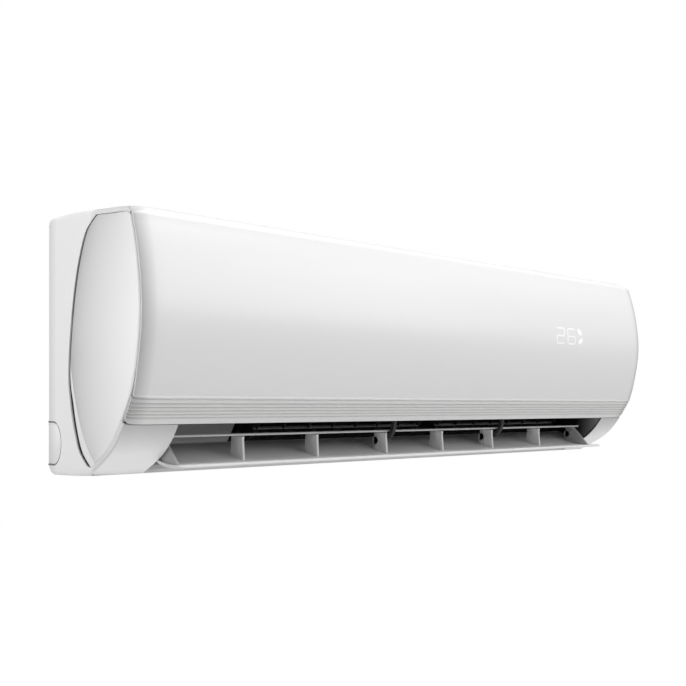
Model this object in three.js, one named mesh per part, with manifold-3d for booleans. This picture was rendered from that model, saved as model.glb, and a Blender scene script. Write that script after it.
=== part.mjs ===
// A wall-mounted split air-conditioner indoor unit, in millimetres, +Z up.
// X runs along the unit, the wall is the plane Y = 0 and the front faces -Y.
// Sections are drawn as (depth from the wall, height above the underside) and carried along X.
import * as THREE from 'three';
import { mergeVertices } from 'three/addons/utils/BufferGeometryUtils.js';
import Module from 'manifold-3d';

const wasm = await Module();
wasm.setup();

// ---------------------------------------------------------------- driving dimensions
const LENGTH = 916;
const HEIGHT = 290;
const DEPTH = 215.3;
const MOUNT_HEIGHT = 160; // the wall plate's middle above the underside, where the origin lies
const GAP = 0.3; // between pieces that seat on each other
const PLAY = 0.9; // round pieces that move or are lifted out

const SHELL_WALL = 2.5;
const END_ROLL_DEPTH = 6.5; // how far the front falls back towards each end
const LOW_ROLL_DEPTH = 2.5; // and how far it does so beside the outlet
const END_ROLL_LENGTH = 28;
const EDGE_ROUND = 5; // rounding of the rear, top and bottom edges at each end

const PANEL_THICKNESS = 2.5;
const PANEL_LOW = 87; // height of the panel's lower edge
const PANEL_TOP_DEPTH = 157; // where the panel ends on top
const PANEL_CORNER_DEPTH = 193; // where its two rounded top corners end
const PANEL_HINGE_BACK = 7; // the hinge's axis behind that edge, so that the edge lifts clear
const PANEL_END_GAP = 1.2;
const SKIN_INSET = 4.5; // the casing's face behind the panel

const OUTLET_TOP = 58;
const OUTLET_LEFT = 62.5; // margin from the left end
const OUTLET_RIGHT = 58; // margin from the right end
const SILL_HEIGHT = 4;
const SILL_BACK = 111; // the outlet's sill, behind the unit's foremost line

const STRIP_THICKNESS = 3;
const GROOVES = 5;
const GROOVE_PITCH = 4.3;
const GROOVE_WIDTH = 2.6;
const GROOVE_DEPTH = 0.9;
const STRIP_LIP = 8.5; // plain band below the lowest groove

const LOUVRE_PIVOT_BACK = 85.3; // behind the unit's foremost line
const LOUVRE_PIVOT_HEIGHT = 32.5;
const LOUVRE_OPEN = 50; // degrees from closed to the rest position
const LOUVRE_THICKNESS = 3.4;
const INNER_BLADE_THICKNESS = 2.4;
const STRUT_THICKNESS = 3;
const STRUTS = [165, 276, 394, 503, 612, 727]; // from the left end
const END_GUSSETS = [67, 831];
const ARMS = [400, 624];
const PIN_RADIUS = 3;

const VANE_COUNT = 16;
const VANE_PITCH = 40.3;
const FIRST_VANE = 213.5;
const VANE_THICKNESS = 1.6;
const VANE_PIVOT = 38; // along the duct's floor
const ROD_SIZE = 2.4;
const ROD_DOWNSTREAM = 20; // the tie rod's distance from the vane axis
const ROD_ACROSS = 31.5; // the tie rod's distance from the duct's floor

const FAN_RADIUS = 48;
const FAN_DEPTH = 94;
const FAN_HEIGHT = 137;
const FAN_LEFT = 203;
const FAN_RIGHT = 65; // margin from the right end
const FAN_BLADES = 18;
const FAN_DISCS = 3;
const SHAFT_RADIUS = 5;

const END_BAY = 197; // the left bay with the motor and the electrics
const BOX_BACK = 92; // the electrical box's rear face
const BOX_LEFT = 12; // margin from the left end
const BOX_WIDTH = 86;
const COIL_THICKNESS = 25;
const COIL_LEFT = 172;
const COIL_RIGHT = 52; // margin from the right end
const TUBE_RADIUS = 3.5;
const TUBE_PITCH = 21;

const FILTER_INSET = 10.3;
const FILTER_THICKNESS = 1.5;
const FILTER_LOW = 112;
const MULLION = 24; // the post between the two filter windows

const PLATE_THICKNESS = 1.4;
const PLATE_WIDTH = 620;
const PLATE_LOW = 72;
const PLATE_DROP = 34; // from the unit's top to the plate's top edge
const BACK_DEPTH = 7; // the housing's back, clear of the wall plate

const CHANNEL_DEPTH = 38; // pipe channel along the lower rear
const CHANNEL_TOP = 62;
const PIPE_COVER_DEPTH = 36;
const PIPE_COVER_LOW = 10.6;
const PIPE_COVER_HIGH = 60.6;

// ---------------------------------------------------------------- derived places
const LEFT = -LENGTH / 2;
const RIGHT = LENGTH / 2;
const MIDDLE_HEIGHT = (PANEL_LOW + HEIGHT) / 2 - 16.5;
const LOUVRE_PIVOT_DEPTH = DEPTH - LOUVRE_PIVOT_BACK;
const PANEL_PIVOT_HEIGHT = HEIGHT - 13;
const PANEL_PIVOT_DEPTH = PANEL_TOP_DEPTH - PANEL_HINGE_BACK;

// ---------------------------------------------------------------- solids
const deg = THREE.MathUtils.degToRad;
const point = (depth, height) => new THREE.Vector2(depth, height);

/** A closed geometry as a solid that can be joined and cut. */
function solid(geometry) {
  const bare = geometry.index ? geometry.toNonIndexed() : geometry.clone();
  bare.deleteAttribute('normal');
  bare.deleteAttribute('uv');
  const merged = mergeVertices(bare, 1e-4);
  return new wasm.Manifold(new wasm.Mesh({
    numProp: 3,
    vertProperties: merged.attributes.position.array,
    triVerts: new Uint32Array(merged.index.array),
  }));
}

/** A solid as a geometry again. */
function geometryOf(body) {
  const mesh = body.getMesh();
  const geometry = new THREE.BufferGeometry();
  geometry.setAttribute('position', new THREE.BufferAttribute(mesh.vertProperties, 3));
  geometry.setIndex(new THREE.BufferAttribute(mesh.triVerts, 1));
  return geometry;
}

const join = (bodies) => bodies.reduce((sum, body) => sum.add(body));
const cut = (body, tools) => tools.reduce((rest, tool) => rest.subtract(tool), body);

/** Turns a section drawn in (depth, height) and extruded along its own z into the unit's frame. */
const sectionFrame = (x) => new THREE.Matrix4().set(
  0, 0, -1, x,
  -1, 0, 0, 0,
  0, 1, 0, 0,
  0, 0, 0, 1,
);

/** A section of [depth, height] corners or a Shape, carried from one X to another. */
function bar(section, xFrom, xTo, curveSegments = 6) {
  const shape = section instanceof THREE.Shape ? section : new THREE.Shape(section);
  const geometry = new THREE.ExtrudeGeometry(shape, {
    depth: xTo - xFrom, bevelEnabled: false, curveSegments,
  });
  return solid(geometry.applyMatrix4(sectionFrame(xTo)));
}

/** A box between two X, two depths and two heights. */
function block(xFrom, xTo, depthFrom, depthTo, low, high) {
  const geometry = new THREE.BoxGeometry(xTo - xFrom, depthTo - depthFrom, high - low);
  return solid(geometry.translate((xFrom + xTo) / 2, -(depthFrom + depthTo) / 2, (low + high) / 2));
}

/** A round bar along X. */
function roundBar(radius, xFrom, xTo, depth, height, sides = 16) {
  const geometry = new THREE.CylinderGeometry(radius, radius, xTo - xFrom, sides);
  return solid(geometry.rotateZ(Math.PI / 2).translate((xFrom + xTo) / 2, -depth, height));
}

/** A round bar along the depth, pointing away from the wall. */
function roundPeg(radius, x, depthFrom, depthTo, height, sides = 12) {
  const geometry = new THREE.CylinderGeometry(radius, radius, depthTo - depthFrom, sides);
  return solid(geometry.translate(x, -(depthFrom + depthTo) / 2, height));
}

/** A ring round an axis along X: its profile is [radius, x] corners, closed on itself or on the axis. */
function turned(profile, depth, height, sides = 24) {
  const points = profile.map(([radius, x]) => new THREE.Vector2(radius, -x));
  if (THREE.ShapeUtils.area(points) < 0) points.reverse();
  const geometry = new THREE.LatheGeometry(points, sides);
  return solid(geometry.rotateZ(Math.PI / 2).translate(0, -depth, height));
}

/** A tube along a smooth path of [x, depth, height] points. */
function tube(points, radius, steps, sides = 8) {
  const path = new THREE.CatmullRomCurve3(
    points.map(([x, depth, height]) => new THREE.Vector3(x, -depth, height)),
  );
  const ring = new THREE.Shape().absarc(0, 0, radius, 0, Math.PI * 2);
  return solid(new THREE.ExtrudeGeometry(ring, {
    extrudePath: path, steps, curveSegments: sides, bevelEnabled: false,
  }));
}

/** Lofts a closed body through stations { x, outline }, outlines anticlockwise in (depth, height). */
function loft(stations) {
  const count = stations[0].outline.length;
  const positions = [];
  for (const { x, outline } of stations) {
    for (const corner of outline) positions.push(x, -corner.x, corner.y);
  }
  const faces = [];
  for (let ring = 0; ring < stations.length - 1; ring += 1) {
    for (let corner = 0; corner < count; corner += 1) {
      const next = (corner + 1) % count;
      const a = ring * count + corner;
      const b = ring * count + next;
      const c = a + count;
      const d = b + count;
      faces.push(a, c, b, b, c, d);
    }
  }
  const last = (stations.length - 1) * count;
  const ends = [stations[0].outline, stations[stations.length - 1].outline];
  for (const [i, j, k] of THREE.ShapeUtils.triangulateShape(ends[0], [])) faces.push(i, j, k);
  for (const [i, j, k] of THREE.ShapeUtils.triangulateShape(ends[1], [])) {
    faces.push(last + i, last + k, last + j);
  }
  const geometry = new THREE.BufferGeometry();
  geometry.setAttribute('position', new THREE.Float32BufferAttribute(positions, 3));
  geometry.setIndex(faces);
  return solid(geometry);
}

// ---------------------------------------------------------------- the unit's outer form
// The profile's whole numbers are its knots: 0 is the outlet's sill, 3 its top, 4 the panel's
// lower edge, 6 the foremost line and 13 the rear edge of the top.
const SILL = 0;
const STRIP_BOTTOM = 3;
const STRIP_TOP = 4;
const REAR = 13;
const knots = [
  [DEPTH - SILL_BACK, SILL_HEIGHT],
  [DEPTH - 76.3, 21.3],
  [DEPTH - 54.8, 37.5],
  [DEPTH - 37.8, OUTLET_TOP],
  [DEPTH - 18.3, PANEL_LOW],
  [DEPTH - 5.8, PANEL_LOW + 39],
  [DEPTH, MIDDLE_HEIGHT],
  [DEPTH - 4.8, HEIGHT - 70],
  [DEPTH - 14.8, HEIGHT - 31],
  [DEPTH - 22.8, HEIGHT - 16],
  [DEPTH - 50.3, HEIGHT - 8.7],
  [110, HEIGHT - 4],
  [50, HEIGHT - 1],
  [10, HEIGHT],
].map(([depth, height]) => point(depth, height));
const profile = new THREE.SplineCurve(knots);
const profileAt = (knot) => profile.getPoint(knot / REAR);

/** The outward direction of the profile. */
function profileNormal(knot) {
  const reach = 0.02;
  const tangent = profileAt(Math.min(knot + reach, REAR)).sub(profileAt(Math.max(knot - reach, 0)));
  return point(tangent.y, -tangent.x).normalize();
}

/** The knot, between two others, where the top of the profile reaches a depth. */
function knotAtDepth(depth, from = 9, to = REAR) {
  let [near, far] = [from, to];
  for (let step = 0; step < 30; step += 1) {
    const middle = (near + far) / 2;
    if (profileAt(middle).x > depth) near = middle;
    else far = middle;
  }
  return near;
}

/** The knot on the front, above the outlet's sill, at a height. */
function knotAtHeight(height) {
  let [low, high] = [SILL, 9];
  for (let step = 0; step < 30; step += 1) {
    const middle = (low + high) / 2;
    if (profileAt(middle).y < height) low = middle;
    else high = middle;
  }
  return low;
}
const PANEL_TOP = knotAtDepth(PANEL_TOP_DEPTH);
const PANEL_CORNER_KNOT = knotAtDepth(PANEL_CORNER_DEPTH, 6);
const panelFalls = [2.2, 5.5, 12, END_ROLL_LENGTH]; // stations from an end over its rounded corner

// The underside rises a little on its way from the wall to the outlet's sill.
const undersideRise = [point(DEPTH - 140, 2.1), point(DEPTH - 124, 3.2)];

const circleFall = (distance, length, depth) => {
  const along = THREE.MathUtils.clamp(1 - distance / length, 0, 1);
  return depth * (1 - Math.sqrt(1 - along * along));
};

const fromEnd = (x) => Math.max(0, Math.min(x - LEFT, RIGHT - x));

/** How far the surface falls inwards near an end: deep and long in front, tight at the rear. */
function roll(x, depth, height) {
  const distance = fromEnd(x);
  const frontShare = THREE.MathUtils.smoothstep(depth, 45, DEPTH - 65);
  const rise = THREE.MathUtils.smoothstep(height, OUTLET_TOP, MIDDLE_HEIGHT - 42);
  const frontDepth = THREE.MathUtils.lerp(LOW_ROLL_DEPTH, END_ROLL_DEPTH, rise);
  const front = circleFall(distance, END_ROLL_LENGTH, frontDepth);
  const rear = circleFall(distance, EDGE_ROUND, EDGE_ROUND);
  return front * frontShare + rear * (1 - frontShare);
}

/** Points of the profile between two knots, moved inwards by an inset at a place along X. */
function stretch(from, to, steps, inset, x) {
  return Array.from({ length: steps + 1 }, (_, step) => {
    const knot = THREE.MathUtils.lerp(from, to, step / steps);
    const at = profileAt(knot);
    return at.addScaledVector(profileNormal(knot), -(inset + roll(x, at.x, at.y)));
  });
}

/** Stations along X between two margins, close together where the ends roll over. */
function endStations(leftMargin, rightMargin, falls = [2.2, 9, END_ROLL_LENGTH]) {
  const left = falls.filter((fall) => fall > leftMargin).map((fall) => LEFT + fall);
  const right = falls.filter((fall) => fall > rightMargin).map((fall) => RIGHT - fall);
  return [LEFT + leftMargin, ...left, ...right.reverse(), RIGHT - rightMargin];
}

/** A band that follows the profile between two knots, of which the upper may vary along X. */
function band(from, upper, steps, outerInset, innerInset, xs) {
  return loft(xs.map((x) => {
    const to = typeof upper === 'function' ? upper(x) : upper;
    const outer = stretch(from, to, steps, outerInset, x);
    return { x, outline: [...outer, ...stretch(from, to, steps, innerInset, x).reverse()] };
  }));
}

/** The knot at which the panel ends on top, lower at its two rounded corners. */
const panelTop = (x) => (
  PANEL_TOP - (PANEL_TOP - PANEL_CORNER_KNOT) * circleFall(fromEnd(x) - PANEL_END_GAP, END_ROLL_LENGTH, 1)
);

/** The closed section of the whole unit, moved inwards by an inset. */
function bodyOutline(inset, x, stepsPerKnot = 3) {
  const front = stretch(SILL, REAR, REAR * stepsPerKnot, inset, x);
  const fall = inset + roll(x, 0, 0);
  const rearTop = [60, 30, 0].map((angle) => point(
    9 - (8.4 - fall) * Math.cos(deg(angle)),
    HEIGHT - 9 + (9 - fall) * Math.sin(deg(angle)),
  ));
  const rearBottom = [0, 30, 60, 90].map((angle) => point(
    12.6 - (12 - fall) * Math.cos(deg(angle)),
    12 - (12 - fall) * Math.sin(deg(angle)),
  ));
  const underside = undersideRise.map((at) => point(at.x, at.y + inset + roll(x, at.x, at.y)));
  return [...front, ...rearTop, ...rearBottom, ...underside];
}
const bodyLoft = (inset, xs, stepsPerKnot) => loft(
  xs.map((x) => ({ x, outline: bodyOutline(inset, x, stepsPerKnot) })),
);

// ---------------------------------------------------------------- the group and its materials
const unit = new THREE.Group();
unit.position.z = -MOUNT_HEIGHT;

const plastic = (color, roughness) => new THREE.MeshStandardMaterial({ color, roughness, metalness: 0 });
const metal = (color, roughness) => new THREE.MeshStandardMaterial({ color, roughness, metalness: 0.9 });

/** Adds a sub-part with its own material to a group. */
function add(name, body, material, parent = unit) {
  const mesh = new THREE.Mesh(geometryOf(body), material);
  mesh.name = name;
  parent.add(mesh);
}
const WHITE = 0xf2f2f1;
const SATIN = 0xe4e4e3;
const GREY = 0x6a6c6d;
const DARK = 0x2e3032;

// ---------------------------------------------------------------- end caps
const CAP_THICKNESS = 2.5;
const CAP_INSET = 7.6; // the cap's front edge behind the profile
const CAP_GAP = 2; // the dark joint behind the cap
const capKnots = [0.05, 9.5]; // where its front edge starts and ends on the profile
const capLength = HEIGHT - 18;

/** The front edge of a cap, from 0 at the bottom to 1 at the top. */
function capFront(share) {
  const knot = THREE.MathUtils.lerp(...capKnots, share);
  return profileAt(knot).addScaledVector(profileNormal(knot), -CAP_INSET);
}

/** The rear edge of a cap: one long bow between its lower and upper corner. */
const capBow = new THREE.SplineCurve([
  [DEPTH - 117.3, 14],
  [DEPTH - 138.3, 33.5],
  [DEPTH - 155.3, 78],
  [DEPTH - 160.3, 123],
  [DEPTH - 146.3, HEIGHT - 86],
  [DEPTH - 123.3, HEIGHT - 32],
  [DEPTH - 96.3, HEIGHT - 13],
].map(([depth, height]) => point(depth, height)));

/** The rim of a cap, drawn in by a margin; a negative margin grows it. */
function capOutline(margin, rows = 10) {
  const front = [];
  const rear = [];
  for (let row = 0; row <= rows; row += 1) {
    const share = THREE.MathUtils.lerp(margin / capLength, 1 - margin / capLength, row / rows);
    const inside = THREE.MathUtils.clamp(share, 0, 1);
    const [a, b] = [capFront(inside), capBow.getPoint(inside)];
    const beyond = (share - inside) * capLength;
    const inwards = b.clone().sub(a);
    const width = inwards.length();
    inwards.normalize().multiplyScalar(Math.min(margin, width * 0.42));
    front.push(a.add(inwards).add(point(0, beyond)));
    rear.push(b.sub(inwards).add(point(0, beyond)));
  }
  return [...front, ...rear.reverse()];
}

/** A cap: a lens-shaped cover with a rounded rim. */
function sideCap() {
  const place = (distance, margin) => ({ x: LEFT + distance, outline: capOutline(margin) });
  return loft([
    place(0.15, 12), place(0.35, 5), place(0.8, 1.6), place(1.5, GAP), place(CAP_THICKNESS, GAP),
  ]);
}

/** The pipe cover's D-shaped outline, grown outwards by a margin. */
function pipeCoverOutline(margin) {
  const radius = (PIPE_COVER_HIGH - PIPE_COVER_LOW) / 2;
  const middle = (PIPE_COVER_HIGH + PIPE_COVER_LOW) / 2;
  const arcDepth = PIPE_COVER_DEPTH - radius * 0.8;
  const corners = [point(0.8 - margin, middle - radius - margin)];
  for (let angle = -90; angle <= 90; angle += 15) {
    corners.push(point(
      arcDepth + (radius * 0.8 + margin) * Math.cos(deg(angle)),
      middle + (radius + margin) * Math.sin(deg(angle)),
    ));
  }
  corners.push(point(0.8 - margin, middle + radius + margin));
  return corners;
}

const mirrored = (body) => body.mirror([1, 0, 0]);

function buildCaps() {
  const cap = sideCap();
  add('side_cap_left', cap, plastic(WHITE, 0.4));
  add('side_cap_right', mirrored(cap), plastic(WHITE, 0.4));
  const cover = bar(pipeCoverOutline(-0.5), LEFT + 0.6, LEFT + 0.6 + SHELL_WALL)
    .add(block(LEFT + 1.5, LEFT + 6, 12, 30, PIPE_COVER_LOW + 12, PIPE_COVER_LOW + 15));
  add('pipe_cover_left', cover, plastic(WHITE, 0.42));
  add('pipe_cover_right', mirrored(cover), plastic(WHITE, 0.42));
}

// ---------------------------------------------------------------- front casing
const windowLeft = LEFT + COIL_LEFT;
const windowRight = RIGHT - COIL_RIGHT;
const skinXs = endStations(2.4, 2.4);
const outletFrom = LEFT + OUTLET_LEFT;
const outletTo = RIGHT - OUTLET_RIGHT;

/** The two filter windows as [from, to] along X. */
const windows = [
  [windowLeft, -MULLION / 2 + (windowLeft + windowRight) / 2],
  [MULLION / 2 + (windowLeft + windowRight) / 2, windowRight],
];

/** The intake on top: long slots between ribs, in bays divided by stiffeners. */
function grilleSlots() {
  const slots = [];
  const bays = 4;
  const firstX = windowLeft;
  const bayWidth = (windowRight - firstX) / bays;
  const rows = 5;
  const rearDepth = 42;
  const pitch = (PANEL_TOP_DEPTH - 14 - rearDepth) / rows;
  for (let bay = 0; bay < bays; bay += 1) {
    for (let row = 0; row < rows; row += 1) {
      const x = firstX + bay * bayWidth;
      const depth = rearDepth + row * pitch;
      slots.push(block(x + 3, x + bayWidth - 3, depth, depth + pitch * 0.72, HEIGHT - 25, HEIGHT + 5));
    }
  }
  return join(slots);
}

/** A bore for the louvre's pins. */
const pivotBore = (xFrom, xTo) => (
  roundBar(PIN_RADIUS + GAP, xFrom, xTo, LOUVRE_PIVOT_DEPTH, LOUVRE_PIVOT_HEIGHT, 12)
);

/** The wall beside the outlet, from its front edge back to the duct. */
const cheekWall = (xFrom, xTo) => bar([
  ...stretch(0.3, STRIP_BOTTOM - 0.02, 6, 0.3, 0),
  ...stretch(STRIP_BOTTOM, STRIP_BOTTOM, 1, SKIN_INSET + 0.2, 0).slice(1),
  point(DEPTH - 56, OUTLET_TOP + 6.5),
  point(DEPTH - 62, OUTLET_TOP + 20),
  onFloor(26, 22),
  onFloor(34, 1.5),
  onFloor(76, 1.5),
], xFrom, xTo);

/** Stops on the casing's face, on which the filters stand by their lower edges. */
const filterStops = () => windows.flatMap(([from, to]) => [0.25, 0.75].map((share) => {
  const x = THREE.MathUtils.lerp(from, to, share);
  const edge = knotAtHeight(FILTER_LOW);
  const inside = FILTER_INSET + FILTER_THICKNESS;
  return band(edge - 0.09, edge - GAP / 40, 1, SKIN_INSET + 1, inside, [x - 9, x + 9]);
}));

/** A post with a round cradle for one of the panel's hinge pins. */
function hingeCradle(x) {
  const seat = roundBar(PIN_RADIUS - 1 + GAP, x - 6, x + 6, PANEL_PIVOT_DEPTH, PANEL_PIVOT_HEIGHT);
  const foot = PANEL_PIVOT_DEPTH + 5;
  return block(x - 4, x + 4, PANEL_PIVOT_DEPTH - 5, foot, HEIGHT - 24, PANEL_PIVOT_HEIGHT - 0.6)
    .subtract(seat)
    .add(block(x - 4, x + 4, foot - 1, PANEL_TOP_DEPTH + 8, HEIGHT - 24, HEIGHT - 14.5));
}
const hingeXs = [LEFT + 60, (windowLeft + windowRight) / 2, RIGHT - 42];
const buttonAt = { x: LEFT + 118, height: PANEL_LOW + 26, radius: 4 };
const buttonKnot = knotAtHeight(buttonAt.height);
const buttonSkin = stretch(buttonKnot, buttonKnot, 1, SKIN_INSET, 0)[0].x;

function buildCasing() {
  const outer = bodyLoft(0, endStations(0, 0), 2);
  const inner = bodyLoft(SHELL_WALL, endStations(SHELL_WALL, SHELL_WALL), 1);
  const insideX = [LEFT + SHELL_WALL, RIGHT - SHELL_WALL];
  let shell = cut(outer, [
    inner,
    block(...insideX, -5, 30, 12, HEIGHT - SHELL_WALL - 0.5),
    block(...insideX, -5, DEPTH - SILL_BACK + 1, -5, 80),
    band(STRIP_BOTTOM, (x) => panelTop(x) + 0.05, 12, -8, SKIN_INSET, endStations(-3, -3, panelFalls)),
    block(outletFrom, outletTo, DEPTH - SILL_BACK - 4, DEPTH + 9, -5, OUTLET_TOP + 4),
  ]);
  // Closed sides inside the panel's rim, and the face behind the panel with its two windows.
  const side = bar(bodyOutline(SKIN_INSET + 1.5, LEFT + 4, 1), LEFT + 0.9, LEFT + SHELL_WALL + 0.2)
    .subtract(block(LEFT - 1, LEFT + 9, -5, 40, 0, HEIGHT));
  const rimInset = bodyLoft(SKIN_INSET, skinXs, 1);
  const face = band(STRIP_BOTTOM + 0.02, PANEL_TOP - 0.12, 12, SKIN_INSET, SKIN_INSET + SHELL_WALL, skinXs);
  const lowKnot = knotAtHeight(FILTER_LOW + 6);
  const glazing = windows.map(([from, to]) => (
    band(lowKnot, PANEL_TOP - 0.55, 7, -8, SKIN_INSET + SHELL_WALL + 3, [from + 6, to - 6])
  ));
  const mouldings = [
    cut(face, glazing),
    side,
    mirrored(side),
    cheekWall(outletFrom - SHELL_WALL, outletFrom),
    cheekWall(outletTo, outletTo + SHELL_WALL),
    bar([
      point(DEPTH - 56, OUTLET_TOP + 3.2),
      ...stretch(STRIP_BOTTOM + 0.05, STRIP_BOTTOM + 0.12, 1, SKIN_INSET + 0.3, 0),
      point(DEPTH - 49, OUTLET_TOP + 9 - GAP),
      point(DEPTH - 52, OUTLET_TOP + 9 - GAP),
      point(DEPTH - 56, OUTLET_TOP + 5.6),
    ], outletFrom - 0.5, outletTo + 0.5),
    roundPeg(buttonAt.radius + 1.8, buttonAt.x, buttonSkin - 8.4, buttonSkin - 1.2, buttonAt.height),
    ...filterStops(),
    ...hingeXs.map(hingeCradle),
  ];
  shell = join([shell, ...mouldings]);
  // The caps sit in shallow pockets over closed inner walls.
  const pocket = bar(capOutline(0), LEFT - 1, LEFT + CAP_THICKNESS + GAP);
  const bow = capBow.getPoints(10);
  const joint = bar([
    ...bow.map((at) => point(at.x + 1, at.y)), ...bow.map((at) => point(at.x - CAP_GAP, at.y)).reverse(),
  ], LEFT - 1, LEFT + 4.2);
  const backing = bar(capOutline(-5), LEFT + SHELL_WALL - 0.3, LEFT + SHELL_WALL + 3.2).intersect(rimInset);
  shell = cut(shell.add(backing).add(mirrored(backing)), [pocket, mirrored(pocket), joint, mirrored(joint)]);
  const coverHole = bar(pipeCoverOutline(0), LEFT - 1, LEFT + 9);
  const pivotHole = pivotBore(LEFT + 30, RIGHT - 30);
  shell = cut(shell, [
    grilleSlots(),
    coverHole,
    mirrored(coverHole),
    pivotHole,
    roundPeg(buttonAt.radius + GAP, buttonAt.x, DEPTH - 40, DEPTH + 5, buttonAt.height),
  ]);
  add('front_casing', shell, plastic(WHITE, 0.42));
}

// ---------------------------------------------------------------- grooved trim strip
function buildStrip() {
  const [low, high] = [STRIP_BOTTOM + 0.02, STRIP_TOP - 0.03];
  const length = profileAt(low).distanceTo(profileAt(high));
  const knotAt = (distance) => low + (high - low) * (distance / length);
  const section = (x) => {
    const outline = [...stretch(low, knotAt(STRIP_LIP - 2), 2, 0.2, x)];
    for (let groove = 0; groove < GROOVES; groove += 1) {
      const middle = STRIP_LIP + GROOVE_WIDTH / 2 + groove * GROOVE_PITCH;
      const half = GROOVE_WIDTH / 2;
      outline.push(
        ...stretch(knotAt(middle - half), knotAt(middle - half), 1, 0.2, x).slice(1),
        ...stretch(knotAt(middle), knotAt(middle), 1, 0.2 + GROOVE_DEPTH, x).slice(1),
        ...stretch(knotAt(middle + half), knotAt(middle + half), 1, 0.2, x).slice(1),
      );
    }
    outline.push(...stretch(high, high, 1, 0.2, x).slice(1));
    outline.push(...stretch(low, high, 3, 0.2 + STRIP_THICKNESS, x).reverse());
    return { x, outline };
  };
  const ends = endStations(PANEL_END_GAP + 1, PANEL_END_GAP + 1, [5.5, 13, END_ROLL_LENGTH]);
  const strip = loft(ends.map(section));
  add('trim_strip', strip, plastic(SATIN, 0.45));
}

// ---------------------------------------------------------------- front panel and its display
const displayAt = { from: LEFT + 664, to: LEFT + 756, low: MIDDLE_HEIGHT - 11, high: MIDDLE_HEIGHT + 31 };

/** A gooseneck lug: from its pin it dips under the casing's edge and rises to the panel. */
const hingeLug = (xFrom, xTo) => bar([
  [-2, 0.9], [-2, -4.6], [PANEL_HINGE_BACK + 2.4, -4.6], [PANEL_HINGE_BACK + 2.4, 2.8],
  [PANEL_HINGE_BACK + 0.6, 2.8], [PANEL_HINGE_BACK + 0.6, -3.1], [2, -3.1], [2, 0.9],
].map(([depth, height]) => point(PANEL_PIVOT_DEPTH + depth, PANEL_PIVOT_HEIGHT + height)), xFrom, xTo);

function buildPanel() {
  const shell = band(
    STRIP_TOP + 0.02, panelTop, 12, 0, PANEL_THICKNESS,
    endStations(PANEL_END_GAP, PANEL_END_GAP, panelFalls),
  );
  const pins = hingeXs.flatMap((x) => [
    roundBar(PIN_RADIUS - 1, x - 6, x + 6, PANEL_PIVOT_DEPTH, PANEL_PIVOT_HEIGHT, 8),
    hingeLug(x - 9, x - 5),
    hingeLug(x + 5, x + 9),
  ]);
  add('front_panel', join([shell, ...pins]), plastic(WHITE, 0.25));
  const depth = DEPTH - PANEL_THICKNESS - 1.6;
  const { from, to, low, high } = displayAt;
  const board = join([
    block(from, to, depth - 4.4, depth - 2.6, low, high),
    block(from + 8, to - 8, depth - 3, depth, low + 8, high - 8),
  ]);
  add('display_board', board, plastic(DARK, 0.5));
}

// ---------------------------------------------------------------- places of the evaporator and pan
// The duct's upper wall ends in a tongue beside the fan; the evaporator's slabs stand round the fan.
const tongue = point(FAN_DEPTH + 51, FAN_HEIGHT - 29);
const coilSlabs = {
  // Each slab is the middle line of its fins, from its lower to its upper end.
  front: [point(DEPTH - 41.5, tongue.y + 4), point(DEPTH - 34, MIDDLE_HEIGHT + 20)],
  upper: [point(DEPTH - 40, MIDDLE_HEIGHT + 34), point(FAN_DEPTH + 16, HEIGHT - 28)],
  rear: [point(32, FAN_HEIGHT + 62), point(FAN_DEPTH - 11, HEIGHT - 26)],
};

// ---------------------------------------------------------------- duct, scroll and rear housing
// The duct's floor runs from the scroll down to the sill. Vanes are laid out on it, with one
// direction along the flow and one across the duct.
const floorStart = point(DEPTH - 169.3, 75);
const floorEnd = point(DEPTH - 112.3, 7.5);
const flow = floorEnd.clone().sub(floorStart).normalize();
const across = point(-flow.y, flow.x);
const onFloor = (along, out) => floorStart.clone().addScaledVector(flow, along).addScaledVector(across, out);

/** The scroll behind the fan, from the cut-off at the top round to the duct's floor. */
const scroll = new THREE.SplineCurve([
  point(FAN_DEPTH - 31, FAN_HEIGHT + 46),
  point(FAN_DEPTH - 55, FAN_HEIGHT + 24),
  point(FAN_DEPTH - 63, FAN_HEIGHT - 6),
  point(FAN_DEPTH - 59, FAN_HEIGHT - 38),
  floorStart,
]);

/** The room in front of the scroll, drawn in by a clearance. */
const scrollRoom = (clearance) => [
  ...scroll.getPoints(11).map((at, index) => {
    const tangent = scroll.getTangent(index / 11);
    return at.add(point(-tangent.y, tangent.x).multiplyScalar(clearance));
  }),
  point(DEPTH, floorStart.y),
  point(DEPTH, FAN_HEIGHT + 46),
];

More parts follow.
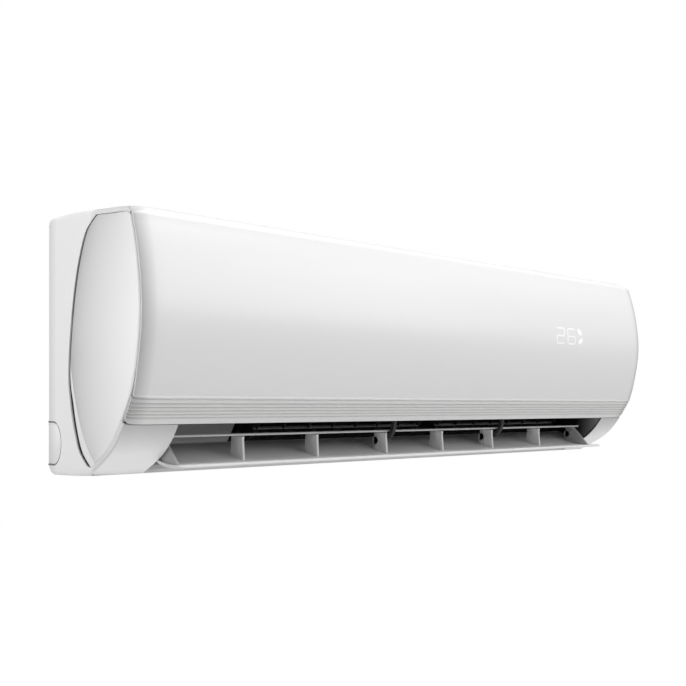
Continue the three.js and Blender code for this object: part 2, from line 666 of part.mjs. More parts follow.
function buildHousing() {
  const wall = SHELL_WALL;
  const scrollPoints = scroll.getPoints(11);
  const inner = [...scrollPoints.slice(0, -1), floorStart, floorEnd, point(DEPTH - 111.6, 4.1)];
  const outer = scrollPoints.slice(0, -1).map((at, index) => {
    const tangent = scroll.getTangent(index / 11);
    return at.clone().add(point(tangent.y, -tangent.x).multiplyScalar(wall));
  });
  const floorBack = onFloor(0, -wall);
  const scrollWall = [
    ...inner, point(DEPTH - 115, 3.9), onFloor(84, -wall), floorBack, ...[...outer].reverse(),
  ];
  const underside = [
    point(12, 0), ...undersideRise, point(DEPTH - 111.6, 3.9), point(DEPTH - 113.2, 6.3),
    ...undersideRise.map((at) => point(at.x, at.y + wall)).reverse(), point(12, wall),
  ];
  const from = LEFT + SHELL_WALL + GAP;
  const to = RIGHT - SHELL_WALL - GAP;
  const ductFrom = LEFT + END_BAY;
  const ductTo = outletTo;
  const shaftHole = (x0, x1) => roundBar(22, x0 - 1, x1 + 1, FAN_DEPTH, FAN_HEIGHT, 18);
  const endWall = (x0, x1) => bar([
    ...scrollRoom(-1).slice(0, -2),
    onFloor(31, -1),
    onFloor(25, 22),
    point(FAN_DEPTH + 24, FAN_HEIGHT - 54),
    point(FAN_DEPTH + 24, FAN_HEIGHT + 24),
    point(FAN_DEPTH + 4, FAN_HEIGHT + 46),
  ], x0, x1).subtract(shaftHole(x0, x1));
  const top = HEIGHT - SHELL_WALL - GAP - 1;
  // The rear trough, on which the rear slab of the evaporator stands.
  const [slabLow, slabHigh] = coilSlabs.rear;
  const alongSlab = slabHigh.clone().sub(slabLow).normalize();
  const onSlab = (side, drop) => slabLow.clone()
    .addScaledVector(point(alongSlab.y, -alongSlab.x), side)
    .addScaledVector(alongSlab, -drop);
  const trough = [
    point(FAN_DEPTH - 32, FAN_HEIGHT + 43.5),
    point(FAN_DEPTH - 32, FAN_HEIGHT + 46),
    onSlab(17, 4),
    onSlab(13, GAP),
    onSlab(-13, GAP),
    point(BACK_DEPTH + 1, FAN_HEIGHT + 72),
    point(BACK_DEPTH + 1, FAN_HEIGHT + 69),
    onSlab(-13, GAP + wall),
    onSlab(14, GAP + wall),
    onSlab(17, 4 + wall),
  ].reverse();
  const boxPosts = [LEFT + BOX_LEFT + 16, LEFT + BOX_LEFT + BOX_WIDTH - 16].map((x) => (
    block(x - 5, x + 5, BACK_DEPTH + 1, BOX_BACK - GAP, FAN_HEIGHT + 8, FAN_HEIGHT + 18)
  ));
  const bodies = [
    bar(trough, LEFT + COIL_LEFT - 1, RIGHT - COIL_RIGHT + 1),
    ...boxPosts,
    bar(scrollWall, from + 3.4, to - 3.4),
    block(from, to, BACK_DEPTH, BACK_DEPTH + wall, CHANNEL_TOP, top),
    block(from, to, 3, BACK_DEPTH + 1, CHANNEL_TOP, CHANNEL_TOP + 6),
    block(from, to, 3, BACK_DEPTH + 1, top - 6, top),
    block(from, to, BACK_DEPTH, CHANNEL_DEPTH + 2, CHANNEL_TOP, CHANNEL_TOP + wall),
    bar(underside, from, to),
    block(from, to, 2.2, 13, 4, 4 + wall),
    block(from, to, 11, 13.5, 0.2, 6),
    endWall(ductFrom, ductFrom + wall),
    endWall(ductTo, ductTo + wall),
    ...[from + 3.4, -130, 130, to - wall - 3.4].map((x) => bar([
      point(BACK_DEPTH + 1, CHANNEL_TOP + 1),
      point(CHANNEL_DEPTH - 1, CHANNEL_TOP + 1),
      ...scrollRoom(-1.2).slice(1, -3).reverse(),
      point(BACK_DEPTH + 1, FAN_HEIGHT + 46),
    ], x, x + wall)),
    ...Array.from({ length: VANE_COUNT }, (_, index) => vanePost(index)),
  ];
  const hookSlots = plateHookXs.map((x) => (
    block(x - 14, x + 14, 0, BACK_DEPTH + wall + 1, hookLow - 11, hookLow + 1.6 + GAP)
  ));
  add('rear_housing', cut(join(bodies), hookSlots), plastic(0xd9d9d8, 0.6));
}

// ---------------------------------------------------------------- wall plate
const plateTop = HEIGHT - PLATE_DROP;
const hookLow = plateTop - 8;
const plateHookXs = [-220, 0, 220];

function buildWallPlate() {
  const half = PLATE_WIDTH / 2;
  const sheet = block(-half, half, 0, PLATE_THICKNESS, PLATE_LOW, plateTop);
  const notch = 40;
  const cuts = [
    block(-half - 1, -half + notch, -1, 9, PLATE_LOW - 1, PLATE_LOW + 30),
    block(half - notch, half + 1, -1, 9, PLATE_LOW - 1, PLATE_LOW + 30),
  ];
  for (const x of [-250, -150, 150, 250]) {
    for (const height of [plateTop - 34, PLATE_LOW + 44]) {
      cuts.push(roundPeg(2.6, x, -1, 9, height, 8));
    }
  }
  for (const x of [-210, -130, 130, 210]) {
    cuts.push(block(x - 22, x + 22, -1, 9, (plateTop + PLATE_LOW) / 2 - 34, (plateTop + PLATE_LOW) / 2 - 8));
  }
  const ribs = [PLATE_LOW + 14, (plateTop + PLATE_LOW) / 2 + 6, plateTop - 16].map((height) => (
    bar([
      point(PLATE_THICKNESS - 0.2, height - 6),
      point(PLATE_THICKNESS + 2.6, height - 3),
      point(PLATE_THICKNESS + 2.6, height + 3),
      point(PLATE_THICKNESS - 0.2, height + 6),
    ], -half + notch + 8, half - notch - 8)
  ));
  // Hooks bent forwards and up, on which the housing hangs by the upper edges of its slots.
  const hooks = plateHookXs.map((x) => bar([
    point(PLATE_THICKNESS - 0.4, hookLow),
    point(BACK_DEPTH + SHELL_WALL + GAP + 1.6, hookLow),
    point(BACK_DEPTH + SHELL_WALL + GAP + 1.6, hookLow + 9),
    point(BACK_DEPTH + SHELL_WALL + GAP, hookLow + 9),
    point(BACK_DEPTH + SHELL_WALL + GAP, hookLow + 1.6),
    point(PLATE_THICKNESS - 0.4, hookLow + 1.6),
  ], x - 11, x + 11));
  add('wall_plate', join([cut(sheet, cuts), ...ribs, ...hooks]), metal(0xb9bcbe, 0.4));
}

// ---------------------------------------------------------------- drain pan and upper duct wall

function buildDrainPan() {
  const wall = 2.2;
  const mouth = point(DEPTH - 51, OUTLET_TOP + 9);
  const pan = [
    mouth,
    point(mouth.x + wall, mouth.y + 1.2),
    point(DEPTH - 63, tongue.y - 6),
    point(DEPTH - 33, tongue.y - 9),
    point(DEPTH - 24, tongue.y - 4),
    point(DEPTH - 24, tongue.y + 14),
    point(DEPTH - 24 - wall, tongue.y + 14),
    point(DEPTH - 24 - wall, tongue.y - 3),
    point(DEPTH - 34, tongue.y - 6.5),
    point(tongue.x + 6, tongue.y - 2),
    point(tongue.x + 3.5, tongue.y + 12),
    point(tongue.x + 1, tongue.y + 12),
    point(tongue.x, tongue.y),
  ];
  const from = LEFT + END_BAY - 48;
  const to = RIGHT - 34;
  const ends = [from, to - wall].map((x) => bar([
    point(DEPTH - 25, tongue.y - 4),
    point(DEPTH - 25, tongue.y + 13.5),
    point(tongue.x + 1.5, tongue.y + 11.5),
    point(tongue.x + 4.5, tongue.y - 1),
    point(DEPTH - 34, tongue.y - 7.5),
  ], x, x + wall));
  const spigot = turned(
    [[6, RIGHT - 36], [8, RIGHT - 36], [8, RIGHT - 22], [6, RIGHT - 22], [6, RIGHT - 36]],
    DEPTH - 38, tongue.y - 0.5, 16,
  );
  const bore = roundBar(6, RIGHT - 44, RIGHT - 20, DEPTH - 38, tongue.y - 0.5, 16);
  add('drain_pan', join([bar(pan, from, to), ...ends]).subtract(bore).add(spigot), plastic(GREY, 0.6));
}

/** The blind wall at the left of the outlet, which closes the duct in front of the motor bay. */
function buildOutletEnd() {
  const rear = DEPTH - 127.3;
  const low = 27;
  const corners = [
    [LEFT + OUTLET_LEFT + GAP, low],
    [LEFT + END_BAY - 17, low],
    [LEFT + END_BAY, OUTLET_TOP + 2],
    [LEFT + END_BAY, OUTLET_TOP + 16],
    [LEFT + OUTLET_LEFT + GAP, OUTLET_TOP + 16],
  ];
  const shape = new THREE.Shape(corners.map(([x, height]) => new THREE.Vector2(x, height)));
  const geometry = new THREE.ExtrudeGeometry(shape, { depth: SHELL_WALL, bevelEnabled: false });
  const plate = solid(geometry.rotateX(Math.PI / 2).translate(0, -rear, 0));
  const hood = bar([
    point(rear - 0.2, OUTLET_TOP + 13.5),
    point(DEPTH - 52, OUTLET_TOP + 13.5),
    point(DEPTH - 52, OUTLET_TOP + 16),
    point(rear - 0.2, OUTLET_TOP + 16),
  ], LEFT + OUTLET_LEFT + GAP, LEFT + END_BAY - 50);
  add('outlet_end_wall', plate.add(hood), plastic(GREY, 0.6));
}

// ---------------------------------------------------------------- guide vanes and tie rods
const vaneX = (index) => LEFT + FIRST_VANE + index * VANE_PITCH;
const vaneAxis = new THREE.Vector3(0, -across.x, across.y);
const flowAxis = new THREE.Vector3(0, -flow.x, flow.y);

/** The frame of a vane: its first axis along the flow, its second across the duct. */
function vaneFrame(x) {
  const origin = onFloor(VANE_PIVOT, 0);
  return new THREE.Matrix4()
    .makeBasis(flowAxis, vaneAxis, new THREE.Vector3(-1, 0, 0))
    .setPosition(x, -origin.x, origin.y);
}

/** A vane's pivot post on the duct's floor. */
function vanePost(index) {
  const post = new THREE.CylinderGeometry(3.2, 4, 4, 6);
  return solid(post.applyMatrix4(vaneFrame(vaneX(index))));
}

/** A vane: a tapered blade on a foot, notched in front where the tie rod passes. */
function vane(index) {
  const top = 73;
  const reach = ROD_SIZE / 2 + 0.5;
  const outline = new THREE.Shape([
    new THREE.Vector2(-15, 4),
    new THREE.Vector2(14, 4),
    new THREE.Vector2(20.5, 12),
    new THREE.Vector2(23, ROD_ACROSS - 5),
    new THREE.Vector2(23, ROD_ACROSS - reach),
    new THREE.Vector2(ROD_DOWNSTREAM - reach - 0.6, ROD_ACROSS - reach),
    new THREE.Vector2(ROD_DOWNSTREAM - reach - 0.6, ROD_ACROSS + reach),
    new THREE.Vector2(23, ROD_ACROSS + reach),
    new THREE.Vector2(19, top - 6),
    new THREE.Vector2(13, top),
    new THREE.Vector2(4, top),
    new THREE.Vector2(-3, top - 12),
  ]);
  const blade = new THREE.ExtrudeGeometry(outline, { depth: VANE_THICKNESS, bevelEnabled: false });
  const foot = new THREE.CylinderGeometry(3.4, 3.4, 3, 6);
  const body = solid(blade.translate(0, 0, -VANE_THICKNESS / 2))
    .add(solid(foot.translate(0, 2 + GAP + 1.5, 0)));
  return solid(geometryOf(body).applyMatrix4(vaneFrame(vaneX(index))));
}

/** A tie rod that links half of the vanes. */
function tieRod(first, last) {
  const xFrom = vaneX(first) - 3;
  const xTo = vaneX(last) + 3;
  const middle = onFloor(VANE_PIVOT + ROD_DOWNSTREAM, ROD_ACROSS);
  const half = ROD_SIZE / 2;
  const corner = (along, out) => middle.clone().addScaledVector(flow, along).addScaledVector(across, out);
  const section = [corner(-half, -half), corner(half, -half), corner(half, half), corner(-half, half)];
  return bar(section, xFrom, xTo);
}

function buildVanes() {
  for (let index = 0; index < VANE_COUNT; index += 1) {
    add(`vane_${String(index + 1).padStart(2, '0')}`, vane(index), plastic(DARK, 0.5));
  }
  const half = VANE_COUNT / 2;
  add('tie_rod_left', tieRod(0, half - 1), plastic(GREY, 0.5));
  add('tie_rod_right', tieRod(half, VANE_COUNT - 1), plastic(GREY, 0.5));
}

// ---------------------------------------------------------------- twin-blade louvre
const armXs = ARMS.map((distance) => LEFT + distance);
const louvreFrom = outletFrom + PLAY;
const louvreTo = outletTo - PLAY;
const closed = (depth, height) => point(LOUVRE_PIVOT_DEPTH + depth, LOUVRE_PIVOT_HEIGHT + height);

/** Turns a louvre piece from closed, where it is drawn, to its rest position. */
function opened(body) {
  const toPivot = new THREE.Matrix4().makeTranslation(0, LOUVRE_PIVOT_DEPTH, -LOUVRE_PIVOT_HEIGHT);
  const back = toPivot.clone().invert();
  const turn = new THREE.Matrix4().makeRotationX(deg(LOUVRE_OPEN));
  return solid(geometryOf(body).applyMatrix4(back.multiply(turn).multiply(toPivot)));
}

/** A strut between the blades; its foot follows the outer blade's curve. */
const strut = (x) => bar([
  ...stretch(0.95, 1.92, 2, 1.4, 0),
  closed(4.8, 22.1),
  closed(-9.3, 5.2),
], x - STRUT_THICKNESS / 2, x + STRUT_THICKNESS / 2);

/** The gusset at each end, with its long sloping front edge. */
const gusset = (x) => bar([
  ...stretch(0.95, 2.75, 4, 1.4, 0),
  closed(-0.7, 16.9),
  closed(-9.3, 5.2),
], x - STRUT_THICKNESS / 2, x + STRUT_THICKNESS / 2);

/** A pivot pin with the boss that carries it on a strut. */
const pivotPin = (strutX, pinTo) => join([
  roundBar(5.4, strutX - STRUT_THICKNESS / 2, strutX + STRUT_THICKNESS / 2, LOUVRE_PIVOT_DEPTH,
    LOUVRE_PIVOT_HEIGHT, 10),
  roundBar(PIN_RADIUS, Math.min(strutX, pinTo), Math.max(strutX, pinTo), LOUVRE_PIVOT_DEPTH,
    LOUVRE_PIVOT_HEIGHT, 10),
]);

function buildLouvre() {
  const rounding = [[0, 0.5], [5, 0.2], [16, 0]];
  const sectionAt = (x, shortening) => ({
    x,
    outline: [
      ...stretch(0.1, 2.95 - shortening, 7, 0.3, 0),
      ...stretch(0.16, 2.9 - shortening, 7, 0.3 + LOUVRE_THICKNESS, 0).reverse(),
    ],
  });
  const blade = loft([
    ...rounding.map(([distance, shortening]) => sectionAt(louvreFrom + distance, shortening)),
    ...rounding.map(([distance, shortening]) => sectionAt(louvreTo - distance, shortening)).reverse(),
  ]);
  const strutXs = STRUTS.map((distance) => LEFT + distance);
  const gussetXs = END_GUSSETS.map((distance) => LEFT + distance);
  const pieces = [
    blade,
    ...strutXs.map(strut),
    ...gussetXs.map(gusset),
    pivotPin(strutXs[2], armXs[0] + 3.5),
    pivotPin(strutXs[4], armXs[1] + 3.5),
    pivotPin(gussetXs[0], outletFrom - 14),
    pivotPin(gussetXs[1], outletTo + 5),
  ];
  add('louvre_outer_blade', opened(join(pieces)), plastic(WHITE, 0.4));
  const inner = bar([
    closed(-9.6, 5.6), closed(4.4, 22.4), closed(4.2, 23.8),
    closed(2.6, 24.2), closed(-11.2, 7.4), closed(-11, 6),
  ].map((at) => at.add(point(-0.3, 0.3))), gussetXs[0] - 3, gussetXs[1] + 2);
  const armSlots = armXs.map((x) => (
    block(x - 5, x + 6, LOUVRE_PIVOT_DEPTH - 3, LOUVRE_PIVOT_DEPTH + 20, LOUVRE_PIVOT_HEIGHT + 14, HEIGHT)
  ));
  add('louvre_inner_blade', opened(cut(inner, armSlots)), plastic(WHITE, 0.4));
}

// ---------------------------------------------------------------- louvre arms and motor
function buildLouvreSupports() {
  const centre = new THREE.SplineCurve([
    closed(0, 0), closed(11, 0.8), closed(20, 6), closed(26, 15), closed(28, 28.4),
  ]);
  const half = 2.6;
  const side = (sign) => centre.getPoints(8).map((at, index) => {
    const tangent = centre.getTangent(index / 8);
    return at.clone().add(point(tangent.y, -tangent.x).multiplyScalar(sign * half));
  });
  armXs.forEach((x, index) => {
    const arm = bar([...side(1), ...side(-1).reverse()], x - 2.5, x + 2.5)
      .add(roundBar(6, x - 2.5, x + 2.5, LOUVRE_PIVOT_DEPTH, LOUVRE_PIVOT_HEIGHT))
      .subtract(roundBar(PIN_RADIUS + GAP, x - 3, x + 3, LOUVRE_PIVOT_DEPTH, LOUVRE_PIVOT_HEIGHT, 12));
    add(index === 0 ? 'louvre_arm_left' : 'louvre_arm_right', arm, plastic(DARK, 0.5));
  });
  const motorFrom = LEFT + OUTLET_LEFT - SHELL_WALL - GAP - 18;
  const motorTo = LEFT + OUTLET_LEFT - SHELL_WALL - GAP;
  const motor = roundBar(14, motorFrom, motorTo, LOUVRE_PIVOT_DEPTH, LOUVRE_PIVOT_HEIGHT + 4, 24)
    .add(block(motorTo - 3, motorTo, LOUVRE_PIVOT_DEPTH - 17, LOUVRE_PIVOT_DEPTH + 17,
      LOUVRE_PIVOT_HEIGHT, LOUVRE_PIVOT_HEIGHT + 8))
    .subtract(pivotBore(motorTo - 12, motorTo + 1));
  add('louvre_motor', motor, metal(0xa8abad, 0.35));
}

// ---------------------------------------------------------------- cross-flow fan, motor, bearing
function buildFan() {
  const from = LEFT + FAN_LEFT;
  const to = RIGHT - FAN_RIGHT;
  const root = FAN_RADIUS - 12;
  const discs = Array.from({ length: FAN_DISCS }, (_, index) => {
    const x = THREE.MathUtils.lerp(from, to - 3, index / (FAN_DISCS - 1));
    const closedEnd = index === 0 || index === FAN_DISCS - 1;
    const bore = closedEnd ? SHAFT_RADIUS + GAP : root - 4;
    return turned(
      [[bore, x], [FAN_RADIUS - 1, x], [FAN_RADIUS - 1, x + 3], [bore, x + 3], [bore, x]],
      FAN_DEPTH, FAN_HEIGHT, FAN_BLADES,
    );
  });
  // Each blade is a thin arc, swept forwards at its tip.
  const bladeSection = (turn) => {
    const rows = [[root, 0], [root + 6, 2.8], [FAN_RADIUS - 0.3, 2.8]];
    const place = (radius, offset) => point(
      FAN_DEPTH + radius * Math.cos(turn) - offset * Math.sin(turn),
      FAN_HEIGHT + radius * Math.sin(turn) + offset * Math.cos(turn),
    );
    return [
      ...rows.map(([radius, offset]) => place(radius, offset)),
      ...rows.map(([radius, offset]) => place(radius, offset + 1.2)).reverse(),
    ];
  };
  const blades = Array.from({ length: FAN_BLADES }, (_, index) => (
    bar(bladeSection((index / FAN_BLADES) * Math.PI * 2), from + 1, to - 1)
  ));
  add('fan_rotor', join([...discs, ...blades]), plastic(0x3a3c3e, 0.5));
  const shaft = join([
    roundBar(SHAFT_RADIUS, from - 40, from + 26, FAN_DEPTH, FAN_HEIGHT, 12),
    roundBar(10, from + 3 + GAP, from + 22, FAN_DEPTH, FAN_HEIGHT, 16),
  ]);
  add('fan_shaft', shaft, metal(0x9b9ea0, 0.3));
  const stub = join([
    roundBar(SHAFT_RADIUS, to - 20, to + 16, FAN_DEPTH, FAN_HEIGHT, 12),
    roundBar(9, to - 18, to - 3 - GAP, FAN_DEPTH, FAN_HEIGHT, 16),
  ]);
  add('fan_stub_shaft', stub, metal(0x9b9ea0, 0.3));
}

function buildFanDrive() {
  const motorTo = LEFT + END_BAY - 14;
  const motorFrom = motorTo - 62;
  const profilePoints = [
    [SHAFT_RADIUS + GAP, motorTo], [16, motorTo], [18, motorTo - 6], [38, motorTo - 8], [43, motorTo - 14],
    [43, motorFrom + 14], [38, motorFrom + 6], [18, motorFrom + 4], [16, motorFrom],
    [SHAFT_RADIUS + GAP, motorFrom], [SHAFT_RADIUS + GAP, motorTo],
  ];
  add('fan_motor', turned(profilePoints, FAN_DEPTH, FAN_HEIGHT, 18), metal(0x8d9092, 0.4));
  // A saddle and strap round the motor, on feet that stand on the scroll.
  const strap = turned([
    [43 + GAP, motorFrom + 22], [46, motorFrom + 22], [46, motorTo - 22], [43 + GAP, motorTo - 22],
    [43 + GAP, motorFrom + 22],
  ], FAN_DEPTH, FAN_HEIGHT, 18);
  const foot = block(motorFrom + 22, motorTo - 22, 20, FAN_DEPTH - 30, FAN_HEIGHT - 12, FAN_HEIGHT + 6)
    .intersect(bar(scrollRoom(GAP), motorFrom, motorTo))
    .subtract(roundBar(44.5, motorFrom, motorTo, FAN_DEPTH, FAN_HEIGHT, 18));
  add('motor_bracket', strap.add(foot), plastic(0xd0d1d1, 0.55));
  const bearingFrom = outletTo + SHELL_WALL + 1;
  const bearing = turned([
    [SHAFT_RADIUS + GAP, bearingFrom], [12, bearingFrom], [14, bearingFrom + 3], [14, bearingFrom + 9],
    [12, bearingFrom + 12], [SHAFT_RADIUS + GAP, bearingFrom + 12], [SHAFT_RADIUS + GAP, bearingFrom],
  ], FAN_DEPTH, FAN_HEIGHT, 12);
  add('fan_bearing', bearing, plastic(0x232425, 0.8));
  const holder = block(
    bearingFrom + 1, bearingFrom + 11, FAN_DEPTH - 22, FAN_DEPTH + 22, FAN_HEIGHT - 60, FAN_HEIGHT + 22,
  )
    .subtract(roundBar(14 + GAP, bearingFrom, bearingFrom + 12, FAN_DEPTH, FAN_HEIGHT, 12));
  add('bearing_holder', holder, plastic(0xd0d1d1, 0.55));
}

// ---------------------------------------------------------------- evaporator
const coilFrom = LEFT + COIL_LEFT;
const coilTo = RIGHT - COIL_RIGHT;

/** A slab's four corners about its middle line. */
function slabOutline([low, high], half) {
  const along = high.clone().sub(low).normalize();
  const out = point(along.y, -along.x).multiplyScalar(half);
  return [low.clone().add(out), high.clone().add(out), high.clone().sub(out), low.clone().sub(out)];
}

/** Tube centres in two staggered rows along a slab. */
function tubeRows([low, high]) {
  const along = high.clone().sub(low);
  const count = Math.floor((along.length() - 10) / TUBE_PITCH);
  along.normalize();
  const out = point(along.y, -along.x);
  return Array.from({ length: count }, (_, index) => (
    [5.6, -5.6].map((side, row) => low.clone()
      .addScaledVector(along, 9 + index * TUBE_PITCH + row * TUBE_PITCH * 0.4)
      .addScaledVector(out, side))
  ));
}

/** A return bend between two tube ends, standing out from an end plate. */
function returnBend(a, b, x, reach) {
  const middle = a.clone().add(b).multiplyScalar(0.5);
  return tube([
    [x, a.x, a.y],
    [x + reach * 0.55, a.x, a.y],
    [x + reach, middle.x, middle.y],
    [x + reach * 0.55, b.x, b.y],
    [x, b.x, b.y],
  ], TUBE_RADIUS, 6, 3);
}

function buildCoil() {
  const half = COIL_THICKNESS / 2;
  const inset = 1.5 + GAP;
  const fins = (slab) => bar(slabOutline(slab, half), coilFrom + inset, coilTo - inset);
  add('evaporator_front', fins(coilSlabs.front), metal(0xc9ccce, 0.35));
  add('evaporator_upper', fins(coilSlabs.upper), metal(0xc9ccce, 0.35));
  add('evaporator_rear', fins(coilSlabs.rear), metal(0xc9ccce, 0.35));
  const plate = (x) => [coilSlabs.front, coilSlabs.upper, coilSlabs.rear]
    .map((slab) => bar(slabOutline(slab, half + 0.8), x, x + 1.5));
  const bridge = (x) => bar([
    coilSlabs.front[1].clone().add(point(-6, -5)), coilSlabs.front[1].clone().add(point(8, -5)),
    coilSlabs.upper[0].clone().add(point(8, 4)), coilSlabs.upper[0].clone().add(point(-8, 4)),
  ], x, x + 1.5);
  const ridge = (x) => bar([
    coilSlabs.rear[1].clone().add(point(-2, -10)), coilSlabs.upper[1].clone().add(point(2, -10)),
    coilSlabs.upper[1].clone().add(point(0, 6)), coilSlabs.rear[1].clone().add(point(0, 6)),
  ], x, x + 1.5);
  const bends = (x, reach, shift) => [coilSlabs.front, coilSlabs.upper, coilSlabs.rear].flatMap((slab) => {
    const rows = tubeRows(slab);
    const pairs = [];
    for (let index = 0; index + 1 < rows.length; index += 2) {
      pairs.push([rows[index][shift], rows[index + 1][shift]]);
    }
    return pairs.map(([a, b]) => returnBend(a, b, x, reach));
  });
  const left = join([...plate(coilFrom), bridge(coilFrom), ridge(coilFrom), ...bends(coilFrom + 1, -16, 0)]);
  const right = join([
    ...plate(coilTo - 1.5), bridge(coilTo - 1.5), ridge(coilTo - 1.5), ...bends(coilTo - 1, 16, 0),
  ]);
  add('coil_end_left', left, metal(0xb5784f, 0.35));
  add('coil_end_right', right, metal(0xb5784f, 0.35));
}

// ---------------------------------------------------------------- refrigerant pipes in the channel
function buildPipes() {
  const clampX = LEFT + 320;
  const run = (height, depth, radius, end) => {
    const path = [
      [LEFT + 40, depth, height],
      [LEFT + 150, depth, height],
      [end - 40, depth, height],
      [end, depth, height],
    ];
    return tube(path, radius, 3, 5);
  };
  const nut = (x, depth, height, radius) => turned([
    [0, x], [radius, x], [radius + 3.5, x + 3], [radius + 3.5, x + 18], [0, x + 18],
  ], depth, height, 6);
  add('suction_pipe', run(26, 18, 6.35, LEFT + 470), metal(0xb5784f, 0.3));
  add('liquid_pipe', run(47, 18, 3.2, LEFT + 430), metal(0xb5784f, 0.3));
  add('suction_flare_nut', nut(LEFT + 470 + GAP, 18, 26, 6.35), metal(0xc2a35a, 0.3));
  add('liquid_flare_nut', nut(LEFT + 430 + GAP, 18, 47, 3.2), metal(0xc2a35a, 0.3));
  const clamp = block(clampX - 9, clampX + 9, 8, CHANNEL_DEPTH - 12, 14, CHANNEL_TOP - GAP)
    .subtract(roundBar(6.35 + GAP, clampX - 10, clampX + 10, 18, 26, 12))
    .subtract(roundBar(3.2 + GAP, clampX - 10, clampX + 10, 18, 47, 12));
  add('pipe_clamp', clamp, plastic(0xd0d1d1, 0.55));
}

// ---------------------------------------------------------------- air filters
/** A filter: a frame with ribs that follows the unit's front and top, over a fine net. */
function buildFilters() {
  const lowKnot = knotAtHeight(FILTER_LOW);
  const highKnot = knotAtDepth(PANEL_TOP_DEPTH - 30);
  windows.forEach(([from, to], index) => {
    const [x0, x1] = [from + PLAY, to - PLAY];
    const net = band(lowKnot, highKnot, 5, FILTER_INSET + 0.4, FILTER_INSET + 1.1, [x0, x1]);
    const rib = (a, b, ra, rb) => band(a, b, ra, FILTER_INSET, FILTER_INSET + FILTER_THICKNESS, rb);
    const rails = [
      rib(lowKnot, highKnot, 5, [x0, x0 + 7]),
      rib(lowKnot, highKnot, 5, [x1 - 7, x1]),
      rib(lowKnot, lowKnot + 0.2, 1, [x0, x1]),
      rib(highKnot - 0.1, highKnot, 1, [x0, x1]),
      rib((lowKnot + highKnot) / 2 - 0.03, (lowKnot + highKnot) / 2 + 0.03, 1, [x0, x1]),
      ...[1, 2].map((share) => {
        const x = THREE.MathUtils.lerp(x0, x1, share / 3);
        return rib(lowKnot, highKnot, 5, [x - 1.5, x + 1.5]);
      }),
    ];
    add(index === 0 ? 'air_filter_left' : 'air_filter_right', join([net, ...rails]), plastic(0x4a4d50, 0.7));
  });
}

// ---------------------------------------------------------------- electrics
function buildElectrics() {
  const x0 = LEFT + BOX_LEFT;
  const x1 = x0 + BOX_WIDTH;
  const depth0 = BOX_BACK;
  const depth1 = DEPTH - 24;
  const low = PANEL_LOW + 22;
  const high = HEIGHT - 56;
  const wall = 2;
  const tray = cut(block(x0, x1, depth0, depth1 - 6, low, high), [
    block(x0 + wall, x1 - wall, depth0 + wall, depth1, low + wall, high - wall),
  ]);
  add('electrical_box', tray, plastic(0xdadbdb, 0.6));
  const lid = join([
    block(x0, x1, depth1 - 6 + GAP, depth1 - 4 + GAP, low, high),
    block(x0 + 12, x1 - 12, depth1 - 4, depth1 - 2, low + 20, high - 20),
  ]);
  add('electrical_box_cover', lid, plastic(0xdadbdb, 0.6));
  const boardDepth = depth0 + wall + 5;
  const board = join([
    block(x0 + 5, x1 - 5, boardDepth, boardDepth + 1.6, low + 30, high - 5),
    block(x0 + 14, x0 + 34, boardDepth + 1, boardDepth + 16, high - 34, high - 12),
    block(x0 + 44, x0 + 62, boardDepth + 1, boardDepth + 12, high - 30, high - 14),
    roundPeg(7, x0 + 24, boardDepth + 1, boardDepth + 20, low + 50),
    roundPeg(2, x0 + 12, boardDepth - 5 + GAP, boardDepth + 1, low + 40, 8),
    roundPeg(2, x1 - 12, boardDepth - 5 + GAP, boardDepth + 1, high - 12, 8),
  ]);
  add('control_board', board, plastic(0x2f6b3c, 0.5));
  const terminals = join([
    block(x0 + 8, x1 - 10, depth0 + wall + GAP, depth0 + wall + 12, low + 5, low + 22),
    ...[10, 22, 34, 46, 58].map((x) => (
      block(x0 + x, x0 + x + 2, depth0 + wall + 11, depth0 + wall + 17, low + 5, low + 22)
    )),
  ]);
  add('terminal_block', terminals, plastic(DARK, 0.5));
  const { x, height, radius } = buttonAt;
  const button = join([
    roundPeg(radius, x, buttonSkin - 10, buttonSkin - 7.5, height),
    roundPeg(radius + 2, x, buttonSkin - 12, buttonSkin - 9.6, height),
  ]);
  add('manual_button', button, plastic(SATIN, 0.5));
  const holder = join([
    block(x - 10, x + 10, buttonSkin - 22, buttonSkin - 13.8, height - 10, height + 10),
    block(x1 + GAP, x + 10, buttonSkin - 22, buttonSkin - 20, height - 4, height + 4),
  ]);
  add('button_switch', holder, plastic(DARK, 0.5));
}

buildCaps();
buildCasing();
buildStrip();
buildPanel();
buildHousing();
buildWallPlate();
buildDrainPan();
buildOutletEnd();
buildVanes();
buildLouvre();
buildLouvreSupports();
buildFan();
buildFanDrive();
buildCoil();
buildPipes();
buildFilters();
buildElectrics();

export default unit;
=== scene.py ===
"""A wall-mounted air conditioner's indoor unit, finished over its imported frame.

Section sizes are millimetres: depth from the wall, height above the underside, X from the middle.
"""
import math

import bmesh
import bpy
from mathutils import Matrix, Vector


